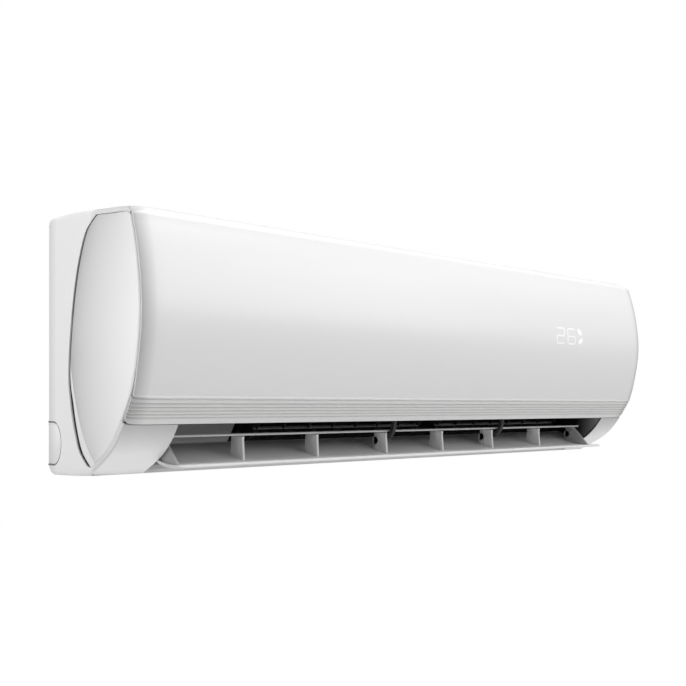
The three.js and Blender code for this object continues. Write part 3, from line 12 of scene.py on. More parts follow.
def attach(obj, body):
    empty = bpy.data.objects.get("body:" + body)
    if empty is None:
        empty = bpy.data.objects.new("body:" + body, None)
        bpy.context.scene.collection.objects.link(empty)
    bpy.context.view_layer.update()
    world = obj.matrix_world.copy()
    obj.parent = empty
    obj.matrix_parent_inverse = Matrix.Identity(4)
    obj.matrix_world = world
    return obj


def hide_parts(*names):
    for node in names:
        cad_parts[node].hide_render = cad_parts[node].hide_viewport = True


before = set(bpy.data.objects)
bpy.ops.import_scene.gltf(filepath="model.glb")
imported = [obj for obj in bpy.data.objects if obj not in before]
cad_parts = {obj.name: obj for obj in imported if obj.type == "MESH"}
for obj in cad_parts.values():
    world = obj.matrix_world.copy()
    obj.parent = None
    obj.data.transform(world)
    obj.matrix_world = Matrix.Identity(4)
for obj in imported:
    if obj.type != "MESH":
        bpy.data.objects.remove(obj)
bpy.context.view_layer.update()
scene = bpy.context.scene

# ------------ camera
camera = bpy.data.objects.new("camera", bpy.data.cameras.new("camera"))
scene.collection.objects.link(camera)
camera.location = (-0.9004, -0.9919, -0.0827)
camera.rotation_euler = (math.radians(90), 0, math.radians(-42))
camera.data.lens = 47.68
camera.data.sensor_width = 36
camera.data.shift_x = 0.0015
camera.data.shift_y = 0.0923
camera.data.clip_start = 0.01
scene.camera = camera

# ------------ sizes
LENGTH, HEIGHT, DEPTH, MOUNT_HEIGHT = 916.0, 290.0, 215.3, 160.0
LEFT, RIGHT = -LENGTH / 2, LENGTH / 2
SHELL_WALL, SKIN_INSET = 2.5, 4.5
END_ROLL_DEPTH, LOW_ROLL_DEPTH, END_ROLL_LENGTH, EDGE_ROUND = 6.5, 2.5, 28.0, 5.0
PANEL_THICKNESS, PANEL_LOW, PANEL_TOP_DEPTH, PANEL_END_GAP = 2.5, 87.0, 157.0, 1.2
PANEL_CORNER_DEPTH = 193.0
HINGE = (PANEL_TOP_DEPTH - 7, HEIGHT - 13)
MIDDLE_HEIGHT = (PANEL_LOW + HEIGHT) / 2 - 16.5
OUTLET_TOP, SILL_BACK = 58.0, 111.0
OUTLET_FROM, OUTLET_TO = LEFT + 62.5, RIGHT - 58.0
STRIP_THICKNESS, STRIP_LIP = 3.0, 6.8
GROOVES, GROOVE_PITCH, GROOVE_WIDTH, GROOVE_DEPTH = 5, 4.3, 3.1, 1.7
PIVOT, PIN_RADIUS = (DEPTH - 85.3, 32.5), 3.0
LOUVRE_OPEN, LOUVRE_THICKNESS, STRUT_THICKNESS = 50.0, 3.4, 3.0
STRUTS = [LEFT + distance for distance in (165, 276, 394, 503, 612, 727)]
GUSSETS = [LEFT + distance for distance in (67, 831)]
ARMS, ARM_THICKNESS = [LEFT + distance for distance in (400, 624)], 5.0
WINDOW_FROM, WINDOW_TO, MULLION = LEFT + 172.0, RIGHT - 52.0, 24.0
FILTER_LOW = 112.0
INTAKE_BAYS, INTAKE_ROWS, INTAKE_REAR = 8, 9, 42.0
HINGES = (LEFT + 60, (WINDOW_FROM + WINDOW_TO) / 2, RIGHT - 42)
BUTTON_X, BUTTON_HEIGHT, BUTTON_RADIUS = LEFT + 118, PANEL_LOW + 26, 4.0
CAP_THICKNESS, CAP_INSET, CAP_GAP, CAP_FACET, JOINT_DEPTH = 2.5, 7.6, 1.8, 21.0, 4.2
PIPE_COVER_DEPTH, PIPE_COVER_LOW, PIPE_COVER_HIGH = 36.0, 10.6, 60.6
GAP = 0.3
MM = 0.001


def place(x, depth, height):
    """A place in the unit's section, as a point in metres."""
    return Vector((x, -depth, height - MOUNT_HEIGHT)) * MM


# ------------ the unit's outer form
def spline(knots, at):
    """A point on a smooth curve through knots, whose whole numbers are the knots."""
    index = max(0, min(int(at), len(knots) - 2))
    share = at - index
    before = knots[max(index - 1, 0)]
    here, ahead = knots[index], knots[index + 1]
    beyond = knots[min(index + 2, len(knots) - 1)]
    leave, arrive = (ahead - before) / 2, (beyond - here) / 2
    cubed, squared = 2 * here - 2 * ahead + leave + arrive, 3 * ahead - 3 * here - 2 * leave - arrive
    return cubed * share**3 + squared * share**2 + leave * share + here


def points(*pairs):
    """Places in the section, from pairs of a depth and a height."""
    return [Vector(pair) for pair in pairs]


STRIP_BOTTOM, STRIP_TOP, REAR = 3, 4, 13
PROFILE = points(
    (DEPTH - SILL_BACK, 4), (DEPTH - 76.3, 21.3), (DEPTH - 54.8, 37.5), (DEPTH - 37.8, OUTLET_TOP),
    (DEPTH - 18.3, PANEL_LOW), (DEPTH - 5.8, PANEL_LOW + 39), (DEPTH, MIDDLE_HEIGHT),
    (DEPTH - 4.8, HEIGHT - 70), (DEPTH - 14.8, HEIGHT - 31), (DEPTH - 22.8, HEIGHT - 16),
    (DEPTH - 50.3, HEIGHT - 8.7), (110, HEIGHT - 4), (50, HEIGHT - 1), (10, HEIGHT),
)


def outward(knot):
    """The direction straight out of the profile at a knot."""
    along = spline(PROFILE, min(knot + 0.35, REAR)) - spline(PROFILE, max(knot - 0.35, 0))
    return Vector((along.y, -along.x)).normalized()


def fall(distance, length, depth):
    """How far a rounded end falls away at a distance from it: a quarter of an ellipse."""
    along = min(1.0, max(0.0, 1 - distance / length))
    return depth * (1 - math.sqrt(1 - along * along))


def smooth_share(value, low, high):
    share = min(1.0, max(0.0, (value - low) / (high - low)))
    return share * share * (3 - 2 * share)


def mix(low, high, share):
    return low + (high - low) * share


def spread(start, end, count):
    """Values at equal distances from a start to an end."""
    return [mix(start, end, step / count) for step in range(count + 1)]


def from_end(x):
    """The distance from the nearer end."""
    return max(0.0, min(x - LEFT, RIGHT - x))


def roll(x, depth, height):
    """How far the surface falls inwards near an end: long in front, tight at the rear."""
    front = smooth_share(depth, 45, DEPTH - 65)
    deep = mix(LOW_ROLL_DEPTH, END_ROLL_DEPTH, smooth_share(height, OUTLET_TOP, MIDDLE_HEIGHT - 42))
    return mix(fall(from_end(x), EDGE_ROUND, EDGE_ROUND), fall(from_end(x), END_ROLL_LENGTH, deep), front)


def surface(knot, inset, x):
    """The (depth, height) of the profile, moved inwards by an inset, at a place along X."""
    here = spline(PROFILE, knot)
    return here - outward(knot) * (inset + roll(x, here.x, here.y))


def knot_where(test, low, high):
    """The last knot on the profile that passes a test, found by halving."""
    for _ in range(30):
        middle = (low + high) / 2
        if test(spline(PROFILE, middle)):
            low = middle
        else:
            high = middle
    return low


def knot_at_height(height):
    return knot_where(lambda here: here.y < height, 0, 9)


def knot_at_depth(depth, lowest=9):
    return knot_where(lambda here: here.x > depth, lowest, REAR)


PANEL_TOP = knot_at_depth(PANEL_TOP_DEPTH)
PANEL_CORNER = knot_at_depth(PANEL_CORNER_DEPTH, 6)


def panel_top(x):
    """The knot at which the panel ends on top, lower at its two rounded corners."""
    return PANEL_TOP - (PANEL_TOP - PANEL_CORNER) * fall(from_end(x) - PANEL_END_GAP, END_ROLL_LENGTH, 1)


def end_stations(margin, middle=4):
    """Places along X that crowd together where the ends roll over."""
    turns = [math.radians(angle) for angle in range(0, 90, 9)]
    reach = [END_ROLL_LENGTH * (1 - math.cos(turn)) for turn in turns] + [END_ROLL_LENGTH]
    near = [0, 0.15, 0.5, 1.1, 2.0, 3.3] + reach
    left = sorted({round(LEFT + margin, 4)} | {round(LEFT + far, 4) for far in near if far > margin})
    spans = [mix(left[-1], -left[-1], share / middle) for share in range(1, middle)]
    return left + spans + [-x for x in reversed(left)]


# ------------ modelling
def loop_edges(bm, row):
    """The edges round a loop of vertices, made where they are missing."""
    return [bm.edges.get(pair) or bm.edges.new(pair) for pair in zip(row, row[1:] + row[:1])]


def fresh_verts(made):
    """The vertices among the parts that an operator made."""
    return [part for part in made["geom"] if isinstance(part, bmesh.types.BMVert)]


def grow(bm, row, places):
    """Extrudes a loop of vertices onto new places."""
    fresh = set(fresh_verts(bmesh.ops.extrude_edge_only(bm, edges=loop_edges(bm, row))))
    grown = []
    for vertex, target in zip(row, places):
        partner = next(e.other_vert(vertex) for e in vertex.link_edges if e.other_vert(vertex) in fresh)
        partner.co = target
        grown.append(partner)
    return grown


def face_outwards(bm):
    bmesh.ops.recalc_face_normals(bm, faces=bm.faces[:])
    if bm.calc_volume(signed=True) < 0:
        bmesh.ops.reverse_faces(bm, faces=bm.faces[:])


def skin(rows):
    """A closed form through loops of places, each extruded from the one before."""
    bm = bmesh.new()
    first = row = [bm.verts.new(target) for target in rows[0]]
    loop_edges(bm, row)
    for places in rows[1:]:
        row = grow(bm, row, places)
    bm.faces.new(first)
    bm.faces.new(row)
    face_outwards(bm)
    return bm


def plate(outline, x_from, x_to, edge=0.0, segments=2):
    """A flat plate of an outline of (depth, height) corners, with its edges rounded."""
    bm = bmesh.new()
    face = bm.faces.new([bm.verts.new(place(x_from, *corner)) for corner in outline])
    moved = fresh_verts(bmesh.ops.extrude_face_region(bm, geom=[face]))
    bmesh.ops.translate(bm, vec=Vector(((x_to - x_from) * MM, 0, 0)), verts=moved)
    face_outwards(bm)
    if edge:
        round_edges(bm, edge, segments)
    return bm


def block(x0, x1, depth0, depth1, low, high, edge=0.0):
    """A box between two X, two depths and two heights, with its edges rounded."""
    bm = bmesh.new()
    bmesh.ops.create_cube(bm, size=1)
    size = Vector((x1 - x0, depth1 - depth0, high - low)) * MM
    bmesh.ops.scale(bm, vec=size, verts=bm.verts[:])
    middle = place((x0 + x1) / 2, (depth0 + depth1) / 2, (low + high) / 2)
    bmesh.ops.translate(bm, vec=middle, verts=bm.verts[:])
    if edge:
        round_edges(bm, edge, 2)
    return bm


def rod(radius, x_from, x_to, depth, height, sides=24, edge=0.0):
    """A round bar along X."""
    turns = [math.tau * side / sides for side in range(sides)]
    outline = [(depth + radius * math.cos(turn), height + radius * math.sin(turn)) for turn in turns]
    return plate(outline, x_from, x_to, edge, 2)


def peg(radius, x, depth_from, depth_to, height, sides=32):
    """A round bar from the back to the front."""
    bm = bmesh.new()
    bmesh.ops.create_circle(bm, cap_ends=True, radius=radius * MM, segments=sides)
    bmesh.ops.rotate(bm, cent=(0, 0, 0), matrix=Matrix.Rotation(math.radians(90), 3, "X"), verts=bm.verts[:])
    bmesh.ops.translate(bm, vec=place(x, depth_from, height), verts=bm.verts[:])
    moved = fresh_verts(bmesh.ops.extrude_face_region(bm, geom=bm.faces[:]))
    bmesh.ops.translate(bm, vec=(0, (depth_from - depth_to) * MM, 0), verts=moved)
    face_outwards(bm)
    return bm


def round_edges(bm, width, segments, angle=35):
    sharp = [e for e in bm.edges if len(e.link_faces) == 2 and e.calc_face_angle() > math.radians(angle)]
    bmesh.ops.bevel(
        bm, geom=sharp, offset=width * MM, offset_type="OFFSET", segments=segments, profile=0.5,
        affect="EDGES", clamp_overlap=True, material=-1,
    )


def together(*parts):
    """Several meshes in one."""
    bm = bmesh.new()
    for part in parts:
        held = bpy.data.meshes.new("held")
        part.to_mesh(held)
        part.free()
        bm.from_mesh(held)
        bpy.data.meshes.remove(held)
    return bm


def carve(target, *tools, operation="DIFFERENCE"):
    """Cuts or joins an object with others, which go."""
    for tool in tools:
        step = target.modifiers.new("carve", "BOOLEAN")
        step.object = tool
        step.operation = operation
        step.solver = "EXACT"
        graph = bpy.context.evaluated_depsgraph_get()
        shaped = bpy.data.meshes.new_from_object(target.evaluated_get(graph))
        target.modifiers.clear()
        target.data = shaped
        bpy.data.objects.remove(tool)
    return target


def shape_of(made):
    """Takes an object apart into its mesh, to be shaped further."""
    bm = bmesh.new()
    bm.from_mesh(made.data)
    bpy.data.objects.remove(made)
    return bm


def rough(name, bm):
    """An object that isn't a piece yet."""
    mesh = bpy.data.meshes.new(name)
    bm.to_mesh(mesh)
    bm.free()
    made = bpy.data.objects.new(name, mesh)
    scene.collection.objects.link(made)
    bpy.context.view_layer.update()
    return made


def finish(made, body, slot, material, nodes=(), sharp=32):
    """Gives an object its finish, its body and the nodes that it stands for."""
    made.data.shade_smooth()
    made.data.set_sharp_from_angle(angle=math.radians(sharp))
    made.data.materials.clear()
    made.data.materials.append(material)
    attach(made, body)
    if nodes:
        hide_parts(*nodes)
    return made


def piece(name, bm, body, slot, material, nodes=(), sharp=32):
    return finish(rough(name, bm), body, slot, material, nodes, sharp)


def mirrored(bm):
    """The same shape at the other end of the unit."""
    twin = bm.copy()
    for vertex in twin.verts:
        vertex.co.x = -vertex.co.x
    bmesh.ops.reverse_faces(twin, faces=twin.faces[:])
    return twin


def both_ends(bm):
    """A shape and its mirror image, in one mesh."""
    return together(mirrored(bm), bm)


# ------------ finishes
class Finish:
    """A material under construction."""

    def __init__(self, name, color, roughness, metallic=0.0):
        self.material = bpy.data.materials.new(name)
        self.material.use_nodes = True
        self.nodes = self.material.node_tree.nodes
        self.links = self.material.node_tree.links
        self.shader = self.nodes["Principled BSDF"]
        for socket, value in (("Base Color", (*color, 1)), ("Roughness", roughness), ("Metallic", metallic)):
            self.shader.inputs[socket].default_value = value
        self.color, self.roughness = color, roughness
        self.place = self.nodes.new("ShaderNodeTexCoord").outputs["Object"]

    def node(self, kind, **settings):
        """A node with its settings: a signal is linked, anything else is set."""
        made = self.nodes.new(kind)
        for key, value in settings.items():
            if isinstance(value, bpy.types.NodeSocket):
                self.links.new(value, made.inputs[key])
            elif key in made.inputs:
                made.inputs[key].default_value = value
            else:
                setattr(made, key, value)
        return made

    def drive(self, socket, signal):
        """Lets a signal set one of the shader's sockets."""
        self.links.new(signal, self.shader.inputs[socket])

    def along(self, axis):
        """The place along one of the unit's axes, in metres."""
        return self.node("ShaderNodeSeparateXYZ", Vector=self.place).outputs[axis]

    def noise(self, scale, detail=3.0):
        return self.node("ShaderNodeTexNoise", Scale=scale, Detail=detail, Vector=self.place).outputs["Fac"]

    def maths(self, operation, first, second=None):
        """The outcome of one calculation on a signal."""
        made = self.node("ShaderNodeMath", operation=operation)
        self.links.new(first, made.inputs[0])
        if isinstance(second, float):
            made.inputs[1].default_value = second
        elif second is not None:
            self.links.new(second, made.inputs[1])
        return made.outputs[0]

    def bands(self, period, axis):
        """Stripes across one axis, a period in millimetres apart."""
        made = self.node(
            "ShaderNodeTexWave", wave_type="BANDS", bands_direction=axis, wave_profile="SIN",
            Scale=math.tau / (20 * period * MM), Distortion=0.0, Vector=self.place,
        )
        return made.outputs["Fac"]

    def span(self, value, low, high, start=0.0, end=1.0, **settings):
        """A value between two limits, carried over to lie between two others."""
        made = self.node("ShaderNodeMapRange", clamp=True, Value=value, **settings)
        for key, number in (("From Min", low), ("From Max", high), ("To Min", start), ("To Max", end)):
            made.inputs[key].default_value = number
        return made.outputs["Result"]

    def blend(self, share, first, second):
        """A mix of two colours, each of them written out or a signal."""
        ends = [(*color, 1) if isinstance(color, tuple) else color for color in (first, second)]
        made = self.node("ShaderNodeMix", data_type="RGBA", Factor=share, A=ends[0], B=ends[1])
        return made.outputs["Result"]

    def ramp(self, value, low, high, first, second):
        """A value between two limits, as a colour between two colours."""
        return self.blend(self.span(value, low, high), first, second)

    def vary(self, scale, spread):
        """A slow drift of the colour over the piece."""
        first = tuple(max(0.0, part * (1 - spread)) for part in self.color)
        second = tuple(min(1.0, part * (1 + spread)) for part in self.color)
        self.drive("Base Color", self.ramp(self.noise(scale), 0.35, 0.65, first, second))

    def gloss(self, scale, spread):
        """A slow drift of the roughness over the piece."""
        low, high = self.roughness - spread, self.roughness + spread
        self.drive("Roughness", self.span(self.noise(scale), 0, 1, low, high))

    def coat(self, weight):
        self.shader.inputs["Coat Weight"].default_value = weight
        self.shader.inputs["Coat Roughness"].default_value = 0.12

    def relief(self, *heights):
        """Bumps: pairs of a height signal and its depth in millimetres."""
        normal = None
        for signal, depth in heights:
            bump = self.node("ShaderNodeBump", Strength=1.0, Distance=depth * MM, Height=signal)
            if normal:
                self.links.new(normal, bump.inputs["Normal"])
            normal = bump.outputs["Normal"]
        self.drive("Normal", normal)


def moulded(name, color, roughness, grain=0.012, grain_scale=2600):
    """Injection-moulded plastic with a fine eroded grain."""
    made = Finish(name, color, roughness)
    made.vary(9, 0.012)
    made.gloss(40, 0.035)
    made.relief((made.noise(grain_scale, 2), grain), (made.noise(22, 2), 0.02))
    made.coat(0.0)
    return made.material


def drawn_metal(name, color, roughness, streak_scale, tarnish=0.06):
    """Metal with fine lines and a little tarnish."""
    made = Finish(name, color, roughness, 1.0)
    made.vary(55, tarnish)
    made.gloss(180, 0.07)
    mapping = made.node("ShaderNodeMapping", Scale=streak_scale, Vector=made.place)
    streaks = made.node("ShaderNodeTexNoise", Scale=300.0, Detail=4.0, Vector=mapping.outputs["Vector"])
    made.relief((streaks.outputs["Fac"], 0.01))
    return made.material


def end_shaded(name, color, deep, from_middle, roughness, coat):
    """Smooth plastic with painted shade that deepens where both ends roll over."""
    made = Finish(name, color, roughness)
    reach = made.maths("ABSOLUTE", made.along("X"))
    made.drive("Base Color", made.ramp(reach, from_middle, LENGTH / 2 * MM, color, deep))
    made.gloss(40, 0.035)
    made.relief((made.noise(900, 2), 0.002), (made.noise(22, 2), 0.02))
    made.coat(coat)
    return made.material


def cap_white():
    """Cap plastic with painted shade, deeper towards its bowed rear edge and more so higher up, and painted
    light on the facet low down.

    The rear edge bows by 2.13 times the square of the level in metres, and more sharply low down.
    """
    made = Finish("cap_white", (0.82, 0.822, 0.82), 0.44)
    height = made.along("Z")
    level = made.maths("ADD", height, 0.037)
    bow = made.maths("MULTIPLY", made.maths("POWER", made.maths("ABSOLUTE", level), 2.0), 2.13)
    low_level = made.maths("ABSOLUTE", made.maths("MINIMUM", level, 0.0))
    low_bow = made.maths("MULTIPLY", made.maths("POWER", low_level, 6.0), 9800.0)
    rear_edge = made.maths("ADD", made.maths("ADD", made.along("Y"), bow), low_bow)
    facet = made.span(height, -0.155, 0.01, 0.021, 0.0, interpolation_type="SMOOTHSTEP")
    past_facet = made.maths("ADD", made.maths("ADD", rear_edge, 0.055), facet)
    forward = made.maths("DIVIDE", made.maths("MINIMUM", past_facet, -0.0001), -0.14)
    # Painted shade: dark at the rear edge, darker higher up, lightening towards the front.
    deep = made.ramp(height, -0.13, -0.03, (0.56, 0.562, 0.562), (0.34, 0.342, 0.342))
    tone = made.blend(made.maths("POWER", forward, 0.5), deep, (0.95, 0.952, 0.95))
    # Painted light: the facet low down takes the casing's lighter tone.
    on_facet = made.maths("MULTIPLY", made.span(past_facet, -0.0006, 0.0006), made.span(facet, 0.002, 0.006))
    made.drive("Base Color", made.blend(on_facet, tone, CASING_TONE))
    made.gloss(40, 0.03)
    made.relief((made.noise(22, 2), 0.02))
    return made.material


def graded(name, axis, low, high, first, second):
    """Plastic whose tone changes from one place to another along an axis."""
    made = Finish(name, first, 0.5)
    made.drive("Base Color", made.ramp(made.along(axis), low, high, first, second))
    made.gloss(40, 0.03)
    made.relief((made.noise(2000, 2), 0.008))
    return made.material


def casing_white():
    """Casing plastic with painted shade and light: deeper at the rear edge; beside the outlet, light low
    down and deepening towards the strip; deeper on the rim at the very ends.
    """
    made = Finish("casing_white", CASING_TONE, 0.46)
    depth = made.along("Y")
    # Painted shade at the rear edge, by the wall.
    rear = made.ramp(depth, -0.024, -0.002, CASING_TONE, (0.64, 0.642, 0.64))
    # Beside the outlet: painted light low down, painted shade towards the strip.
    cheek = made.ramp(made.along("Z"), -0.132, -0.102, (0.98, 0.98, 0.98), (0.58, 0.582, 0.58))
    # Painted shade on the rim at the very ends.
    at_end = made.span(made.maths("ABSOLUTE", made.along("X")), 0.4562, 0.4574)
    corner = made.blend(at_end, cheek, (0.7, 0.702, 0.7))
    made.drive("Base Color", made.blend(made.span(depth, -0.104, -0.116), rear, corner))
    made.gloss(40, 0.035)
    made.relief((made.noise(2400, 2), 0.006), (made.noise(22, 2), 0.02))
    return made.material


def galvanised():
    """Zinc-coated sheet with its spangle."""
    made = Finish("galvanised_sheet", (0.55, 0.57, 0.58), 0.42, 0.95)
    cells = made.node("ShaderNodeTexVoronoi", Scale=120.0, Vector=made.place)
    spangle = made.node("ShaderNodeSeparateColor", Color=cells.outputs["Color"])
    tone = made.ramp(spangle.outputs["Red"], 0, 1, (0.47, 0.49, 0.5), (0.63, 0.65, 0.66))
    made.drive("Base Color", tone)
    made.drive("Roughness", made.span(spangle.outputs["Green"], 0, 1, 0.34, 0.52))
    made.relief((made.noise(900, 3), 0.01))
    return made.material


def finned():
    """A pack of thin fins 1.6 mm apart along X, with painted shade in the gaps between them."""
    made = Finish("aluminium_fins", (0.78, 0.79, 0.8), 0.36, 1.0)
    fins = made.bands(1.6, "X")
    made.drive("Base Color", made.ramp(fins, 0.15, 0.75, (0.06, 0.062, 0.065), (0.8, 0.81, 0.82)))
    made.gloss(60, 0.08)
    made.relief((fins, 0.5), (made.noise(260, 2), 0.04))
    return made.material


def netting():
    """A fine net: lighter threads 1.2 mm apart both ways, with painted shade in the meshes between them."""
    made = Finish("filter_net", (0.2, 0.21, 0.23), 0.65)
    threads = made.maths("MAXIMUM", made.bands(1.2, "X"), made.bands(1.2, "Z"))
    made.drive("Base Color", made.ramp(threads, 0.55, 0.9, (0.018, 0.019, 0.02), (0.17, 0.18, 0.2)))
    made.relief((threads, 0.25))
    return made.material


def circuit():
    """A coated board with pads and tracks."""
    made = Finish("circuit_board", (0.03, 0.16, 0.07), 0.4)
    cells = made.node("ShaderNodeTexVoronoi", Scale=260.0, distance="CHEBYCHEV", Vector=made.place)
    away = cells.outputs["Distance"]
    made.drive("Base Color", made.ramp(away, 0.16, 0.22, (0.5, 0.42, 0.2), (0.03, 0.15, 0.07)))
    made.relief((away, 0.05))
    return made.material


def glowing():
    """The lit marks that show through the panel."""
    made = Finish("lit_marks", (0.95, 0.96, 0.97), 0.4)
    made.vary(300, 0.02)
    made.shader.inputs["Emission Color"].default_value = (0.95, 0.98, 1, 1)
    made.shader.inputs["Emission Strength"].default_value = 0.17
    return made.material


CASING_TONE = (0.83, 0.832, 0.83)
CHARCOAL = (0.016, 0.0165, 0.017)
# Painted shade laid along the strip's groove bottoms.
STRIP_GROOVE_SHADE = moulded("strip_groove_shade", (0.5, 0.5, 0.497), 0.5, 0.001, 900)
# The louvre is one white plastic: painted shade on the inner blade, painted light on the struts, deeper
# painted shade on the gussets.
LOUVRE_WHITE = moulded("louvre_white", (0.7, 0.7, 0.697), 0.45, 0.008, 2400)
OUTER_BLADE_WHITE = moulded("outer_blade_white", (0.83, 0.83, 0.828), 0.45, 0.008, 2400)
STRUT_WHITE = moulded("strut_white", (0.93, 0.93, 0.927), 0.5, 0.008, 2400)
GUSSET_SHADED = moulded("gusset_shaded", (0.44, 0.44, 0.438), 0.5, 0.008, 2400)
DARK = moulded("dark_plastic", (0.03, 0.031, 0.033), 0.5, 0.015, 2000)
END_WALL_GREY = moulded("end_wall_grey", (0.48, 0.482, 0.485), 0.6, 0.015, 2000)
# Painted shade for the grooves round the knock-out covers.
KNOCK_OUT_SHADE = moulded("knock_out_shade", (0.17, 0.17, 0.172), 0.7, 0.01, 2000)
ROD_GREY = moulded("rod_grey", (0.24, 0.24, 0.245), 0.5, 0.01, 2000)
DUCT_BLACK = moulded("duct_black", CHARCOAL, 0.55, 0.015, 2000)
HOUSING = moulded("housing_plastic", (0.62, 0.62, 0.61), 0.6, 0.02, 1600)
FAN_BLACK = moulded("fan_plastic", (0.035, 0.037, 0.04), 0.48, 0.012, 2200)
RUBBER = moulded("bearing_rubber", (0.02, 0.02, 0.02), 0.8, 0.03, 1500)
COPPER = drawn_metal("copper_tube", (0.74, 0.39, 0.25), 0.34, (0.05, 1, 1), 0.12)
BRASS = drawn_metal("brass_nut", (0.78, 0.58, 0.28), 0.3, (0.1, 1, 1), 0.08)
STEEL = drawn_metal("ground_steel", (0.56, 0.57, 0.58), 0.28, (1, 1, 1), 0.05)
MOTOR_CAN = drawn_metal("plated_can", (0.6, 0.61, 0.62), 0.38, (0.2, 1, 1), 0.07)
# Painted shade on the louvre's inside: light at its front, darker further into the outlet.
LOUVRE_INSIDE = graded("louvre_inside", "Y", -0.16, -0.105, (0.93, 0.93, 0.93), (0.42, 0.42, 0.421))
# Painted shade on the outlet's cheeks: grey at the mouth, near black further in.
CHEEK_INSIDE = graded("cheek_inside", "Y", -0.185, -0.13, (0.42, 0.42, 0.42), CHARCOAL)
HOUSING_SHELL = graded("housing_shell", "Z", -0.1485, -0.1455, (0.8, 0.802, 0.8), CHARCOAL)
WHITE_SATIN, CAP_WHITE = casing_white(), cap_white()
CASING = ("unit", "white_satin", WHITE_SATIN, ["front_casing"])
# The panel and the strip carry painted shade, deeper towards both rolled ends.
WHITE_GLOSS = end_shaded("panel_white", (0.86, 0.862, 0.86), (0.55, 0.552, 0.552), 0.441, 0.34, 0.12)
STRIP_SATIN = end_shaded("strip_satin", (0.82, 0.82, 0.815), (0.52, 0.52, 0.517), 0.436, 0.38, 0.0)
GALVANISED, FINS, NET, CIRCUIT, LIT = galvanised(), finned(), netting(), circuit(), glowing()


# ------------ front panel
def hinge_lug(x_from, x_to):
    """A gooseneck that reaches from its pin under the casing's edge up to the panel."""
    bends = ((-2, 0.9), (-2, -4.6), (9.4, -4.6), (9.4, 2.8), (7.6, 2.8), (7.6, -3.1), (2, -3.1), (2, 0.9))
    return plate([(HINGE[0] + depth, HINGE[1] + height) for depth, height in bends], x_from, x_to, 0.35)


PANEL_SINK = 0.07
PANEL_LIP = ((0, -0.75), (0.012, -0.95), (0.03, -0.75), (0.05, -0.3), (0.066, PANEL_SINK))


def build_panel():
    """The panel with its turned-out lower lip, its hinge pins and their lugs."""
    low, rows = STRIP_TOP - 0.04, []
    for x in end_stations(PANEL_END_GAP, 10):
        knots = spread(low, panel_top(x), 70)
        lip = [(low + up, inset) for up, inset in PANEL_LIP] + [(knot, PANEL_SINK) for knot in knots[1:]]
        outer = [place(x, *surface(knot, inset, x)) for knot, inset in lip]
        inner = [place(x, *surface(knot, PANEL_THICKNESS, x)) for knot in reversed(knots)]
        rows.append(outer + inner)
    shell = skin(rows)
    round_edges(shell, 0.6, 3, 50)
    lugs = []
    for x in HINGES:
        lugs += [rod(2, x - 6, x + 6, *HINGE, 24), hinge_lug(x - 9, x - 5), hinge_lug(x + 5, x + 9)]
    piece("panel_skin", together(shell, *lugs), "panel", "white_gloss", WHITE_GLOSS, ["front_panel"], 50)


def mark(outline):
    """A thin mark on the panel's face, from corners of (distance from the left end, height)."""
    bm = bmesh.new()
    bm.faces.new([bm.verts.new((x, height, 0)) for x, height in outline])
    bmesh.ops.triangulate(bm, faces=bm.faces[:])
    bmesh.ops.subdivide_edges(bm, edges=bm.edges[:], cuts=2, use_grid_fill=True)
    for vertex in bm.verts:
        x, height, _ = vertex.co
        vertex.co = place(LEFT + x, *surface(knot_at_height(height), 0.01, 0))
    bm.normal_update()
    if sum(face.normal.y for face in bm.faces) > 0:
        bmesh.ops.reverse_faces(bm, faces=bm.faces[:])
    return bm


def bar_mark(x0, z0, x1, z1, half=0.85):
    """One stroke of a figure, with pointed ends."""
    along = Vector((x1 - x0, z1 - z0)).normalized()
    side = Vector((-along.y, along.x)) * half
    start, end = Vector((x0, z0)) + along * 0.8, Vector((x1, z1)) - along * 0.8
    tip = along * half
    return mark([
        start - tip * 0.6, start + tip * 0.4 - side, end - tip * 0.4 - side,
        end + tip * 0.6, end - tip * 0.4 + side, start + tip * 0.4 + side,
    ])


DIGITS = ((680.5, 699.5, "abged"), (708.0, 726.5, "afgedc"))
DIGIT_HEIGHTS = (170.2, 181.3, 192.4)
LEAF = [(-5.6, 4.4), (-1.4, 5.0), (3.4, 2.2), (5.6, -1.6), (4.8, -4.8), (1.0, -4.4), (-3.4, -1.6)]


def build_display():
    """Two figures of seven strokes each, of which some are lit, and two small leaves."""
    low, middle, high = DIGIT_HEIGHTS
    strokes = []
    for left, right, lit in DIGITS:
        ends = {
            "a": (left, high, right, high), "g": (left, middle, right, middle), "d": (left, low, right, low),
            "f": (left, middle, left, high), "e": (left, low, left, middle),
            "b": (right, middle, right, high), "c": (right, low, right, middle),
        }
        strokes += [bar_mark(*ends[name]) for name in lit]
    strokes.append(mark([(739 + x, 188.5 + z) for x, z in LEAF]))
    strokes.append(mark([(741 - x, 175 + z * 0.9) for x, z in LEAF]))
    piece("display_marks", together(*strokes), "panel", "white_gloss", LIT)


# ------------ grooved strip
STRIP_SINK = 0.2
GROOVE_SHAPE = (
    (-1, 0), (-0.85, 0.12), (-0.55, 0.7), (-0.2, 0.97), (0.2, 1), (0.6, 0.62), (0.88, 0.1), (1, 0),
)


